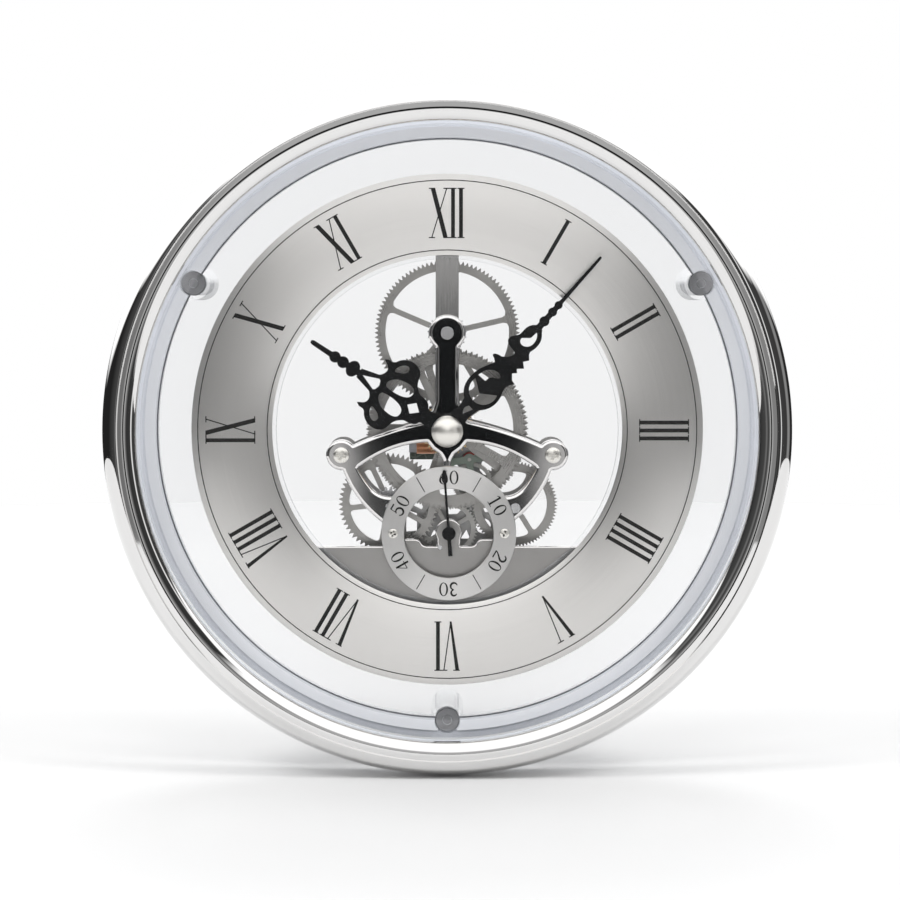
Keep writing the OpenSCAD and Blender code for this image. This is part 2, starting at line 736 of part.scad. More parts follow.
module hour_pipe() {
    color("goldenrod") union() {
        tube(centre_at, pipe_r, cannon_r + running, hour_hand_y - 0.1, hour_wheel_y + wheel_t);
        tube(centre_at, 3.2, cannon_r + running, hour_wheel_y - 0.5, hour_wheel_y - 0.01);
    }
}

module top_wheel() {
    color("darkgray") wheel(top_at, top_teeth, top_mod,
        mesh_turn(centre_at, heading(centre_at, top_at), cannon_teeth, top_at, top_teeth),
        top_wheel_y, wheel_t, 1.42, 2.6, 13.75, 5, 1.25, 13);
}

module top_pinion() {
    color("silver") union() {
        pinion_arbor(top_at, top_pinion_teeth, hour_mod,
            mesh_turn(centre_at, heading(centre_at, top_at), hour_teeth, top_at,
                top_pinion_teeth),
            hour_wheel_y - 0.1, wheel_t + 0.2, 1.4, 4, top_wheel_y + wheel_t);
        rod(top_at, 0.7, top_wheel_y, rear_end + 0.1);
    }
}

// ---- going train ----

module third_wheel() {
    color("darkgray") wheel(third_at, third_teeth, third_mod, heading(third_at, inter_at),
        third_wheel_y, wheel_t, 0.62, 2, 8.9, 5, 1.2, 187);
}

module third_pinion() {
    color("silver") pinion_arbor(third_at, third_pinion_teeth, centre_mod,
        mesh_turn(centre_at, heading(centre_at, third_at), centre_teeth, third_at,
            third_pinion_teeth),
        centre_wheel_y - 0.1, wheel_t + 0.2, 0.6, bridge_y + 0.1, rear_end + 0.1);
}

module intermediate_wheel() {
    color("goldenrod") wheel(inter_at, inter_teeth, inter_mod, 0, fine_wheel_y,
        fine_wheel_t, 0.57, 1.6, 4.4, 4, 0.9, 20);
}

module intermediate_pinion() {
    color("silver") pinion_arbor(inter_at, inter_pinion_teeth, third_mod,
        mesh_turn(third_at, heading(third_at, inter_at), third_teeth, inter_at,
            inter_pinion_teeth),
        third_wheel_y - 0.1, wheel_t + 0.2, 0.55, frame_y + 0.1, rear_end + 0.1);
}

module idler_pinion() {
    color("silver") plate(fine_wheel_y - 0.1, fine_wheel_t + 0.2) difference() {
        gear_2d(idler_at, idler_teeth, inter_mod, idler_turn);
        translate(idler_at) circle(0.5 + running);
    }
}

module idler_stud() {
    color("silver") union() {
        rod(idler_at, 0.5, frame_y + 0.1, fine_wheel_y + fine_wheel_t + 0.2);
        rod(idler_at, 0.9, frame_y + bar_t, fine_wheel_y - 0.2);
    }
}

module seconds_wheel() {
    color("ivory") wheel(seconds_at, seconds_teeth, reduction_mod, 0, seconds_wheel_y,
        wheel_t, 0.62, 1.5, 5, 4, 0.9, 30);
}

module seconds_pinion() {
    color("silver") pinion_arbor(seconds_at, seconds_pinion_teeth, inter_mod,
        mesh_turn(idler_at, idler_turn, idler_teeth, seconds_at, seconds_pinion_teeth),
        fine_wheel_y - 0.1, fine_wheel_t + 0.2, 0.6, seconds_hand_y + 0.3, rear_end + 0.1);
}

module seconds_shape() {
    circle(1.5);
    stroke([[1, 0], [8, 0], [11.4, 0]], 0.6, 0.5);
    polygon(concat([[11, 0.25]], bez([11.2, 0.25], [11.6, 0.85], [12.4, 0.8], [14.1, 0.25], 8),
        [[14.1, -0.25]], bez([14.1, -0.25], [12.4, -0.8], [11.6, -0.85], [11.2, -0.25], 8),
        [[11, -0.25]]));
    stroke([[-5, 0], [-1, 0]], 0.95, 0.8);
}

module seconds_hand() {
    color("black") union() {
        plate(seconds_hand_y, 0.3) translate(seconds_at) rotate(second_angle) seconds_shape();
        rod(seconds_at, 1, seconds_hand_y - 0.2, seconds_hand_y + 0.2);
        tube(seconds_at, 1, 0.62, seconds_hand_y + 0.25, seconds_dial_y);
    }
}

// ---- seconds dial ----

seconds_screw_x = 12.3;
module seconds_dial() {
    color("lightgray") difference() {
        tube(seconds_at, seconds_d / 2, seconds_bore / 2, seconds_dial_y, bridge_y);
        for (s = [-1, 1])
            rod(seconds_at + [s * seconds_screw_x, 0], 0.75, seconds_dial_y - 1, bridge_y + 1);
    }
}

digit_h = 3.05;
// Digits about 2 mm wide, centred, drawn with a swelling pen
module digit(d) {
    h = digit_h / 2;
    pen = 0.2;
    fat = 0.46;
    if (d == 0) difference() {
        polygon(oval([0, 0], 1, h, 0, 345, 23));
        polygon(oval([0, 0], 0.58, h - 0.16, 0, 345, 23));
    }
    if (d == 1) {
        square([0.42, 2 * h], center = true);
        stroke([[-0.65, h - 0.5], [-0.1, h - 0.08]], 0.14, 0.3);
        translate([0, -h + 0.08]) square([1.3, 0.16], center = true);
    }
    if (d == 2) {
        stroke(concat(oval([0, h - 0.85], 0.72, 0.75, 170, 15, 11),
            bez([0.7, h - 1], [0.5, 0], [-0.5, -0.6], [-0.8, -h + 0.2], 8)), pen, pen, fat);
        translate([0, -h + 0.15]) square([1.75, 0.3], center = true);
    }
    if (d == 3) {
        stroke(oval([0, h - 0.75], 0.62, 0.65, 160, -85, 14), pen, pen, fat);
        stroke(oval([0, -h + 0.85], 0.75, 0.75, 88, -165, 14), pen, pen, fat);
    }
    if (d == 4) {
        translate([0.3, 0]) square([0.42, 2 * h], center = true);
        stroke([[0.3, h - 0.1], [-0.9, -0.55]], 0.16, 0.16);
        translate([-0.05, -0.6]) square([1.8, 0.2], center = true);
    }
    if (d == 5) {
        stroke(oval([-0.1, -h + 0.95], 0.8, 0.85, 150, -160, 17), pen, pen, fat);
        stroke([[-0.66, 0], [-0.6, h - 0.1]], 0.16, 0.16);
        translate([0.05, h - 0.16]) square([1.35, 0.32], center = true);
    }
    if (d == 6) {
        difference() {
            polygon(oval([0, -h + 0.95], 0.98, 0.95, 0, 345, 24));
            polygon(oval([0.02, -h + 0.95], 0.56, 0.8, 0, 345, 24));
        }
        stroke(bez([-0.82, -0.5], [-0.7, 0.7], [0, h - 0.3], [0.8, h - 0.05], 8), 0.22, 0.12);
    }
}

seconds_print_r = 12.4;
module seconds_numerals() {
    pairs = [[6, 0], [1, 0], [2, 0], [3, 0], [4, 0], [5, 0]];
    color("black") plate(seconds_dial_y - print_t, print_t) translate(seconds_at) merged() {
        for (i = [0:5]) rotate(-60 * i) {
            translate([-1.15, seconds_print_r]) digit(pairs[i][0]);
            translate([1.15, seconds_print_r]) digit(pairs[i][1]);
        }
        for (a = [30, 150, 210, 330]) rotate(-a) translate([-0.1, 10.6]) square([0.2, 3.7]);
    }
}

module seconds_dial_screws() {
    color("silver") for (s = [-1, 1]) difference() {
        union() {
            rod(seconds_at + [s * seconds_screw_x, 0], 1.05, seconds_dial_y - 0.35,
                seconds_dial_y);
            rod(seconds_at + [s * seconds_screw_x, 0], 0.7, seconds_dial_y - 0.1, frame_y);
        }
        translate([seconds_x + s * seconds_screw_x, seconds_dial_y - 0.35, seconds_z])
            rotate([0, s * 35, 0]) cube([3, 0.4, 0.35], center = true);
    }
}

// ---- quartz drive ----

module reduction_wheel() {
    color("darkgray") wheel(reduction_at, reduction_teeth, reduction_mod, reduction_turn,
        seconds_wheel_y, wheel_t, 0.62, 1.9, 7.4, 3, 1.2, 62);
}

module reduction_arbor() {
    color("silver") union() {
        rod(reduction_at, 1.1, bridge_y + 0.05, frame_y + 0.5);
        rod(reduction_at, 0.6, frame_y, rear_end + 0.1);
    }
}

module fifth_wheel() {
    color("ivory") wheel(fifth_at, fifth_teeth, fifth_mod, heading(fifth_at, rotor_at),
        fine_wheel_y, fine_wheel_t, 0.42, 1.2, 3.6, 4, 0.7, 10);
}

cock_y = third_wheel_y;
cock_t = 0.8;
module fifth_pinion() {
    color("silver") pinion_arbor(fifth_at, fifth_pinion_teeth, reduction_mod,
        mesh_turn(reduction_at, reduction_turn, reduction_teeth, fifth_at,
            fifth_pinion_teeth),
        seconds_wheel_y - 0.1, wheel_t + 0.2, 0.4, cock_y + 0.1, rear_end + 0.1);
}

module rotor_magnet() {
    color("indianred") tube(rotor_at, 1.5, 0.42, seconds_wheel_y, seconds_wheel_y + 1.3);
}

module rotor_pinion() {
    color("ivory") pinion_arbor(rotor_at, rotor_teeth, fifth_mod,
        mesh_turn(fifth_at, heading(fifth_at, rotor_at), fifth_teeth, rotor_at, rotor_teeth),
        fine_wheel_y - 0.1, fine_wheel_t + 0.2, 0.4, cock_y + 0.1, rear_end + 0.1);
}

module drive_cock() {
    color("darkseagreen") plate(cock_y, cock_t) difference() {
        merged() {
            for (p = drive_post_at) translate(p) circle(1.5);
            translate(rotor_at) circle(1.3);
            translate(fifth_at) circle(1.5);
            stroke([drive_post_at[1], rotor_at, drive_post_at[0]], 1.6, 1.6);
            stroke([rotor_at, fifth_at], 1.5, 1.5);
        }
        for (p = drive_post_at) translate(p) circle(0.55);
        translate(rotor_at) circle(0.4 + running);
        translate(fifth_at) circle(0.4 + running);
    }
}

module drive_posts() {
    color("silver") for (p = drive_post_at) {
        rod(p, 0.5, cock_y - 0.4, rear_end + 0.4);
        rod(p, 0.9, cock_y + cock_t, rear_y);
    }
}

coil_z = -4.2;
coil_y = 14.4;
coil_x0 = -7;
coil_x1 = 0.6;
stator_y = 16.1;
module stator() {
    color("slategray") plate(stator_y, 0.7) difference() {
        merged() {
            translate(rotor_at) circle(3);
            polygon([[coil_x0 - 1.6, coil_z - 1.4], [coil_x0 - 1.6, coil_z + 1.4],
                [coil_x1 + 2, coil_z + 1.4], [rotor_at[0] + 2, rotor_at[1] + 2.4],
                [rotor_at[0], rotor_at[1] - 2.6], [coil_x1, coil_z - 1.4]]);
        }
        translate(rotor_at) circle(1.8);
        translate(drive_post_at[1]) circle(1);
    }
}

module coil_core() {
    color("slategray") {
        translate([coil_x0 - 1.4, coil_y - 0.35, coil_z - 0.6])
            cube([coil_x1 - coil_x0 + 2.8, 0.7, 1.2]);
        for (x = [coil_x0 - 1.4, coil_x1 + 0.3])
            translate([x, coil_y + 0.35, coil_z - 0.6]) cube([1.1, stator_y - coil_y - 0.35, 1.2]);
    }
}

module coil_winding() {
    color("peru") difference() {
        translate([coil_x0, coil_y, coil_z]) rotate([0, 90, 0])
            cylinder(r = 1.6, h = coil_x1 - coil_x0);
        translate([coil_x0 - 1, coil_y - 0.37, coil_z - 0.62])
            cube([coil_x1 - coil_x0 + 2, 0.74, 1.24]);
    }
}

board_y = 19.4;
board_t = 0.8;
module circuit_board() {
    color("seagreen") plate(board_y, board_t) difference() {
        translate([-8.5, -7.4]) square([17, 7.8]);
        circle(2.2);
        translate(rotor_at) circle(1);
    }
}

module quartz_crystal() {
    color("silver") translate([3.6, board_y + board_t + 1.05, 0.6]) rotate([0, 90, 0])
        cylinder(r = 1, h = 4.4);
}

// ---- power ----

box_y = 15.3;
box_wall = 1;
box_len = cell_len + 5;
box_h = cell_d + 1 + 2 * box_wall;
module battery_box() {
    color("dimgray") difference() {
        union() {
            translate([-box_len / 2, box_y, cell_z - box_h / 2])
                cube([box_len, case_depth - case_wall - box_y, box_h]);
            for (s = [-1, 1]) rod([s * 12, cell_z], 2.5, frame_y + bar_t, box_y + 1);
        }
        translate([-box_len / 2 + box_wall, box_y + box_wall, cell_z - cell_d / 2 - 0.5])
            cube([box_len - 2 * box_wall, 30, cell_d + 1]);
    }
}

cell_y = box_y + box_wall + cell_d / 2 + 0.1;
module battery_cell() {
    color("darkslategray") union() {
        translate([-cell_len / 2, cell_y, cell_z]) rotate([0, 90, 0])
            cylinder(r = cell_d / 2, h = cell_len - 1.2);
        translate([cell_len / 2 - 1.3, cell_y, cell_z]) rotate([0, 90, 0])
            cylinder(r = 2.7, h = 1.3);
    }
}

module battery_contacts() {
    gap_x = box_len / 2 - box_wall;
    color("silver") {
        for (x = [-gap_x, gap_x - 0.3]) translate([x, box_y + box_wall + 1.5, cell_z - 5])
            cube([0.3, cell_d - 3, 10]);
        translate([-gap_x + 0.3, cell_y, cell_z]) rotate([0, 90, 0]) difference() {
            cylinder(r1 = 4, r2 = 2.5, h = gap_x - cell_len / 2 - 0.35);
            translate([0, 0, -1]) cylinder(r = 1.8, h = 5);
        }
    }
}

// ---- drawing ----

bezel();
front_glass();
glass_gasket();
rear_case();
case_inserts();
case_screws();
dial_plate();
chapter_ring();
chapter_lines();
hour_numerals();
top_bar();
front_bridge();
lower_cover();
rear_plate();
pillars();
pillar_screws();
frame_screws();
arbor_bushes();
centre_arbor();
centre_wheel();
cannon_pinion();
minute_hand();
cap_nut();
set_knob();
hour_wheel();
hour_pipe();
hour_hand();
top_wheel();
top_pinion();
third_wheel();
third_pinion();
intermediate_wheel();
intermediate_pinion();
idler_pinion();
idler_stud();
seconds_wheel();
seconds_pinion();
seconds_hand();
seconds_dial();
seconds_numerals();
seconds_dial_screws();
reduction_wheel();
reduction_arbor();
fifth_wheel();
fifth_pinion();
rotor_magnet();
rotor_pinion();
drive_cock();
drive_posts();
stator();
coil_core();
coil_winding();
circuit_board();
quartz_crystal();
battery_box();
battery_cell();
battery_contacts();
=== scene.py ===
"""Looks for the skeleton clock insert: every CAD node gets a finished mesh and a finished material.

The dial faces -Y.
"""

import json
import math

import bmesh
import bpy
import numpy as np
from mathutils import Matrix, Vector, geometry


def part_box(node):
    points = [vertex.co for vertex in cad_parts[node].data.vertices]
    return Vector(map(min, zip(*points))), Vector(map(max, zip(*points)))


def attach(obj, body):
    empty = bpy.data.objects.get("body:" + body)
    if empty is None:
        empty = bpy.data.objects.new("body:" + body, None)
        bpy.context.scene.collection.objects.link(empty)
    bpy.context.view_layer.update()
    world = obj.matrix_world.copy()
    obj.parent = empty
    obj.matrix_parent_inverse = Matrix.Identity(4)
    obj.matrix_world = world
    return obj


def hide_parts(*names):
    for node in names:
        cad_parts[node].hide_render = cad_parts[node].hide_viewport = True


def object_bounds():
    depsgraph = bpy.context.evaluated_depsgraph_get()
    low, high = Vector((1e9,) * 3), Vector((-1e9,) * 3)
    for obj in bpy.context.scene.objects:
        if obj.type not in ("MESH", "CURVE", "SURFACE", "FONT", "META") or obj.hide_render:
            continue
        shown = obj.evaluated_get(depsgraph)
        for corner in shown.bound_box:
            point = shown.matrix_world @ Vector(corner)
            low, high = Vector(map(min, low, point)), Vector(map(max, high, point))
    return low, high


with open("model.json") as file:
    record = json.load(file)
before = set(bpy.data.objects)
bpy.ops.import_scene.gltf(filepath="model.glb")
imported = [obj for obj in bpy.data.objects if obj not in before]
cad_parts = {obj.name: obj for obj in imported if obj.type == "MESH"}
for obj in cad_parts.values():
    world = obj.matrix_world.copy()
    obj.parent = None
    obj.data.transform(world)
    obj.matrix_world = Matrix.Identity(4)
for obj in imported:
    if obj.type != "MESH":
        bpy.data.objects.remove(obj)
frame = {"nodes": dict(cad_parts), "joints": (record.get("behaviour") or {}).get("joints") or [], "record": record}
cad_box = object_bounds()
NODES = frame["nodes"]
BODY_OF = {n: b for b, names in frame["record"]["behaviour"]["bodies"].items() for n in names}
JOINTS = {j["child"]: j for j in frame["joints"]}
MM = 0.001
SMOOTH_ANGLE = math.radians(32)
BEVEL_ANGLE = math.radians(35)
FLAT_ANGLE = math.radians(0.4)
SAME_POINT = 0.002 * MM
SAME_PLANE = 0.001 * MM
ON_AXIS_MM = 1e-6
ORIGIN = (0.0, 0.0)


# ---- node trees ----

class Tree:
    """A material's node tree, with short calls for the nodes used here."""

    def __init__(self, name):
        self.mat = bpy.data.materials.new(name)
        self.mat.use_nodes = True
        self.nodes = self.mat.node_tree.nodes
        self.links = self.mat.node_tree.links
        self.bsdf = self.nodes["Principled BSDF"]
        self.coords = self.add("ShaderNodeTexCoord").outputs["Object"]

    def add(self, kind, **settings):
        node = self.nodes.new(kind)
        for key, value in settings.items():
            setattr(node, key, value)
        return node

    def plug(self, source, socket):
        if isinstance(source, bpy.types.NodeSocket):
            self.links.new(source, socket)
        else:
            socket.default_value = source

    def maths(self, operation, a, b=0.0, clamp=False):
        node = self.add("ShaderNodeMath", operation=operation, use_clamp=clamp)
        self.plug(a, node.inputs[0])
        self.plug(b, node.inputs[1])
        return node.outputs[0]

    def noise(self, scale, detail=3.0, vector=None, rough=0.55):
        node = self.add("ShaderNodeTexNoise")
        node.inputs["Scale"].default_value = scale
        node.inputs["Detail"].default_value = detail
        node.inputs["Roughness"].default_value = rough
        self.plug(self.coords if vector is None else vector, node.inputs["Vector"])
        return node.outputs["Fac"]

    def remap(self, value, low, high, from_low=0.3, from_high=0.7):
        """Spreads a value that runs over from_low to from_high, about a noise's range, over low to high."""
        node = self.add("ShaderNodeMapRange")
        self.plug(value, node.inputs["Value"])
        node.inputs["From Min"].default_value = from_low
        node.inputs["From Max"].default_value = from_high
        node.inputs["To Min"].default_value = low
        node.inputs["To Max"].default_value = high
        return node.outputs["Result"]

    def tint(self, factor, dark, light):
        node = self.add("ShaderNodeMix", data_type="RGBA")
        self.plug(factor, node.inputs["Factor"])
        node.inputs["A"].default_value = (*dark, 1)
        node.inputs["B"].default_value = (*light, 1)
        return node.outputs["Result"]

    def bump(self, height, strength, depth_mm):
        node = self.add("ShaderNodeBump")
        node.inputs["Strength"].default_value = strength
        node.inputs["Distance"].default_value = depth_mm * MM
        self.plug(height, node.inputs["Height"])
        self.plug(node.outputs["Normal"], self.bsdf.inputs["Normal"])

    def set(self, **values):
        for key, value in values.items():
            self.bsdf.inputs[key.replace("_", " ")].default_value = value

    def about(self, centre):
        """Radius and angle (in turns) about a line along Y through centre, as sockets."""
        split = self.add("ShaderNodeSeparateXYZ")
        self.plug(self.coords, split.inputs[0])
        x = self.maths("SUBTRACT", split.outputs["X"], centre[0])
        z = self.maths("SUBTRACT", split.outputs["Z"], centre[1])
        square = self.maths("ADD", self.maths("MULTIPLY", x, x), self.maths("MULTIPLY", z, z))
        radius = self.maths("SQRT", square)
        turn = self.maths("DIVIDE", self.maths("ARCTAN2", z, x), math.tau)
        return radius, turn, split.outputs["Y"]

    def rings(self, centre, scale, along=6.0):
        """Fine marks that run round a centre, as a lathe or a turning brush leaves them."""
        radius, turn, depth = self.about(centre)
        join = self.add("ShaderNodeCombineXYZ")
        self.plug(self.maths("MULTIPLY", radius, scale), join.inputs["X"])
        self.plug(self.maths("MULTIPLY", turn, along), join.inputs["Y"])
        self.plug(self.maths("MULTIPLY", depth, scale), join.inputs["Z"])
        return self.noise(1.0, 4.0, join.outputs["Vector"], 0.65)


def shade(rgb, factor):
    return tuple(min(1.0, c * factor) for c in rgb)


def metal(name, rgb, rough, spread=0.12, marks=None, marks_scale=9000.0, grain=0.12,
          grain_mm=0.004, smudge=90.0):
    """Metal with tarnish and finger marks. marks is the centre that its machining runs round, and
    smudge and marks_scale are noise scales in marks per metre."""
    tree = Tree(name)
    soft = tree.noise(smudge, 4.0)
    fine = tree.noise(marks_scale * 0.6, 2.0) if marks is None else tree.rings(marks, marks_scale)
    tone = tree.maths("ADD", tree.maths("MULTIPLY", soft, 0.6), tree.maths("MULTIPLY", fine, 0.4))
    tree.plug(tree.tint(tree.remap(tone, 0, 1), shade(rgb, 1 - spread), shade(rgb, 1 + spread)),
              tree.bsdf.inputs["Base Color"])
    tree.plug(tree.remap(tone, rough * 0.75, rough * 1.3), tree.bsdf.inputs["Roughness"])
    tree.bump(fine, grain, grain_mm)
    tree.set(Metallic=1.0)
    return tree


def plastic(name, rgb, rough, spread=0.1, grain=0.25, grain_mm=0.02, grain_scale=2500.0):
    tree = Tree(name)
    soft, fine = tree.noise(60.0, 3.0), tree.noise(grain_scale, 2.0)
    tree.plug(tree.tint(tree.remap(soft, 0, 1), shade(rgb, 1 - spread), shade(rgb, 1 + spread)),
              tree.bsdf.inputs["Base Color"])
    tree.plug(tree.remap(fine, rough * 0.8, rough * 1.25), tree.bsdf.inputs["Roughness"])
    tree.bump(fine, grain, grain_mm)
    return tree


def clear(name, rgb, alpha, rough=0.04, spread=0.03, edge=0.5):
    """Clear moulding: mostly open, denser where it is seen edge on, with faint scuffs."""
    tree = Tree(name)
    soft, fine = tree.noise(40.0, 3.0), tree.noise(900.0, 3.0)
    tree.plug(tree.tint(tree.remap(soft, 0, 1), shade(rgb, 1 - spread), shade(rgb, 1 + spread)),
              tree.bsdf.inputs["Base Color"])
    tree.plug(tree.remap(fine, rough * 0.6, rough * 1.6), tree.bsdf.inputs["Roughness"])
    # Facing rises from 0 on faces seen square to 1 on faces seen edge on
    slant = tree.add("ShaderNodeLayerWeight")
    slant.inputs["Blend"].default_value = 0.5
    rim = tree.maths("MULTIPLY", tree.maths("POWER", slant.outputs["Facing"], 4.0), edge)
    tree.plug(tree.maths("ADD", rim, alpha, clamp=True), tree.bsdf.inputs["Alpha"])
    tree.set(IOR=1.49)
    return tree


def centre_of(body):
    """Where a body's axis passes, as (x, z) in metres."""
    place = JOINTS[body]["pos_m"]
    return place[0], place[2]


# ---- meshes ----

def finish_mesh(bm, name, material, smooth=True):
    mesh = bpy.data.meshes.new(name)
    bm.normal_update()
    bm.to_mesh(mesh)
    bm.free()
    obj = bpy.data.objects.new(name, mesh)
    bpy.context.collection.objects.link(obj)
    mesh.materials.append(material)
    if smooth:
        mesh.shade_smooth()
        mesh.set_sharp_from_angle(angle=SMOOTH_ANGLE)
    return obj


def stands_for(obj, *nodes):
    """Puts a piece in the place of CAD nodes."""
    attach(obj, BODY_OF[nodes[0]])
    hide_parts(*nodes)
    return obj


def added(obj, node):
    """An extra piece that goes with a CAD node without hiding it."""
    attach(obj, BODY_OF[node])
    return obj


def cad_bmesh(node):
    """The node's mesh with its flat faces in one piece each."""
    bm = bmesh.new()
    bm.from_mesh(NODES[node].data)
    bmesh.ops.remove_doubles(bm, verts=bm.verts, dist=SAME_POINT)
    bmesh.ops.dissolve_limit(bm, angle_limit=FLAT_ANGLE, verts=bm.verts, edges=bm.edges)
    return bm


def edged(node, material, width_mm, segments=2):
    """The CAD node with its sharp edges softened."""
    obj = finish_mesh(cad_bmesh(node), node + "_look", material)
    soft = obj.modifiers.new("edges", "BEVEL")
    soft.width = width_mm * MM
    soft.segments = segments
    soft.limit_method = "ANGLE"
    soft.angle_limit = BEVEL_ANGLE
    soft.use_clamp_overlap = True
    flat = obj.modifiers.new("flats", "WEIGHTED_NORMAL")
    flat.weight = 100
    flat.keep_sharp = True
    return stands_for(obj, node)


def lathe(name, profile, material, centre=ORIGIN, steps=256):
    """A closed (radius, y) profile in mm, turned about the line along Y through centre (metres)."""
    bm = bmesh.new()
    rows = []
    for r, y in profile:
        if r < ON_AXIS_MM:
            rows.append([bm.verts.new((centre[0], y * MM, centre[1]))] * steps)
            continue
        angles = (math.tau * i / steps for i in range(steps))
        rows.append([bm.verts.new((centre[0] + r * MM * math.cos(a), y * MM,
                                   centre[1] + r * MM * math.sin(a))) for a in angles])
    for a, b in zip(rows, rows[1:] + rows[:1]):
        for i in range(steps):
            j = (i + 1) % steps
            corners = list(dict.fromkeys((a[i], a[j], b[j], b[i])))
            if len(corners) > 2:
                bm.faces.new(corners)
    bmesh.ops.recalc_face_normals(bm, faces=bm.faces)
    return finish_mesh(bm, name, material)


def oval(centre, rx, ry, a0, a1, steps):
    """Points along an arc of an ellipse from angle a0 to a1, in degrees."""
    angles = (math.radians(a0 + (a1 - a0) * i / steps) for i in range(steps + 1))
    return [(centre[0] + rx * math.cos(a), centre[1] + ry * math.sin(a)) for a in angles]


def front_loops(node):
    """The outlines, as (x, z) points, of the flat face that looks towards -Y, and the node's front
    and back."""
    bm = cad_bmesh(node)
    front = min(v.co.y for v in bm.verts)
    flat = {f for f in bm.faces if all(abs(v.co.y - front) < SAME_PLANE for v in f.verts)}
    rim = dict.fromkeys(e for e in bm.edges if sum(f in flat for f in e.link_faces) == 1)
    loops = []
    while rim:
        edge = next(iter(rim))
        del rim[edge]
        loop, end = [edge.verts[0], edge.verts[1]], edge.verts[1]
        while True:
            step = next((e for e in end.link_edges if e in rim), None)
            if step is None:
                break
            del rim[step]
            end = step.other_vert(end)
            loop.append(end)
        loops.append([Vector((v.co.x, v.co.z)) for v in loop[:-1]])
    back = max(v.co.y for v in bm.verts)
    bm.free()
    return loops, front, back


def area_of(points):
    return sum(a.cross(b) for a, b in zip(points, points[1:] + points[:1])) / 2


def resample(points, step):
    """The closed outline with no edge longer than step."""
    out = []
    for a, b in zip(points, points[1:] + points[:1]):
        parts = max(1, math.ceil((b - a).length / step))
        out += [a.lerp(b, i / parts) for i in range(parts)]
    return out


def domed(node, material, wide_mm, drop_mm, steps=6, spacing_mm=0.35, bores=3.0, rim=None):
    """A plate whose front edge is rolled over a width, as on a tumbled and polished stamping. Holes
    no wider than bores (mm) keep a plain edge. rim is a second material for the rolled edge."""
    too_near, facing_front, side_wall = 0.97, 0.985, 1e-3
    loops, front, back = front_loops(node)
    wide, drop = wide_mm * MM, drop_mm * MM
    loops = [resample(p, spacing_mm * MM) for p in loops]
    big = [p for p in loops if max((a - p[0]).length for a in p) > bores * MM]
    starts = np.array([(a.x, a.y) for p in big for a in p])
    ends = np.array([(b.x, b.y) for p in big for b in p[1:] + p[:1]])
    span = ends - starts
    span_2 = np.maximum((span ** 2).sum(1), 1e-18)

    def nearest(point):
        """How far the point is from the rolled outlines, and the outline's point next to it."""
        t = np.clip(((point - starts) * span).sum(1) / span_2, 0, 1)
        foot = starts + span * t[:, None]
        gaps = np.hypot(*(foot - point).T)
        i = int(gaps.argmin())
        return gaps[i], foot[i]

    verts, edges = [], []
    for p in loops:
        first = len(verts)
        verts += p
        edges += [(first + i, first + (i + 1) % len(p)) for i in range(len(p))]
    outer = max(loops, key=lambda p: abs(area_of(p)))
    for p in big:
        inward = 1 if (area_of(p) > 0) == (p is outer) else -1
        for i, a in enumerate(p):
            along = p[(i + 1) % len(p)] - p[i - 1]
            normal = Vector((-along.y, along.x)).normalized() * inward
            for k in range(1, steps + 1):
                d = wide * (1 - math.cos(math.pi / 2 * k / steps))
                q = a + normal * d
                if nearest(np.array(q))[0] > d * too_near:
                    verts.append(q)
    points, _, faces, *_ = geometry.delaunay_2d_cdt(verts, edges, [], 1, 1e-7)
    bm = bmesh.new()
    front_row, back_row, facing = [], [], {}
    for q in points:
        gap, foot = nearest(np.array(q))
        t = min(gap / wide, 1.0)
        fall = math.sqrt(1 - (1 - t) ** 2)
        v = bm.verts.new((q.x, front + drop * (1 - fall), q.y))
        front_row.append(v)
        back_row.append(bm.verts.new((q.x, back, q.y)))
        out = (Vector(foot) - q).normalized() * drop / wide * (1 - t)
        facing[v] = Vector((out.x, -fall, out.y)).normalized()
    for f in faces:
        mid = sum((points[i] for i in f), Vector((0, 0))) / len(f)
        if winding(mid, loops):
            bm.faces.new([front_row[i] for i in f])
            bm.faces.new([back_row[i] for i in reversed(f)])
    twin = dict(zip(front_row, back_row))
    for e in [e for e in bm.edges if e.is_boundary]:
        a, b = e.verts
        if a in twin:
            bm.faces.new((a, b, twin[b], twin[a]))
    bmesh.ops.delete(bm, geom=[v for v in bm.verts if not v.link_faces], context="VERTS")
    bmesh.ops.recalc_face_normals(bm, faces=bm.faces)
    bm.verts.index_update()
    smooth = {v.index: n for v, n in facing.items() if v.is_valid}
    obj = finish_mesh(bm, node + "_look", material)
    mesh = obj.data
    if rim:
        mesh.materials.append(rim)
    corners = []
    for face in mesh.polygons:
        rolled = abs(face.normal.y) > side_wall and all(v in smooth for v in face.vertices)
        if rim and abs(face.normal.y) < facing_front:
            face.material_index = 1
        corners += [smooth[v] if rolled else face.normal.copy() for v in face.vertices]
    mesh.normals_split_custom_set(corners)
    return stands_for(obj, node)


def winding(q, loops):
    """True if q is inside an odd number of the outlines."""
    inside = False
    for p in loops:
        for a, b in zip(p, p[1:] + p[:1]):
            if (a.y > q.y) != (b.y > q.y) and q.x < (b.x - a.x) * (q.y - a.y) / (b.y - a.y) + a.x:
                inside = not inside
    return inside


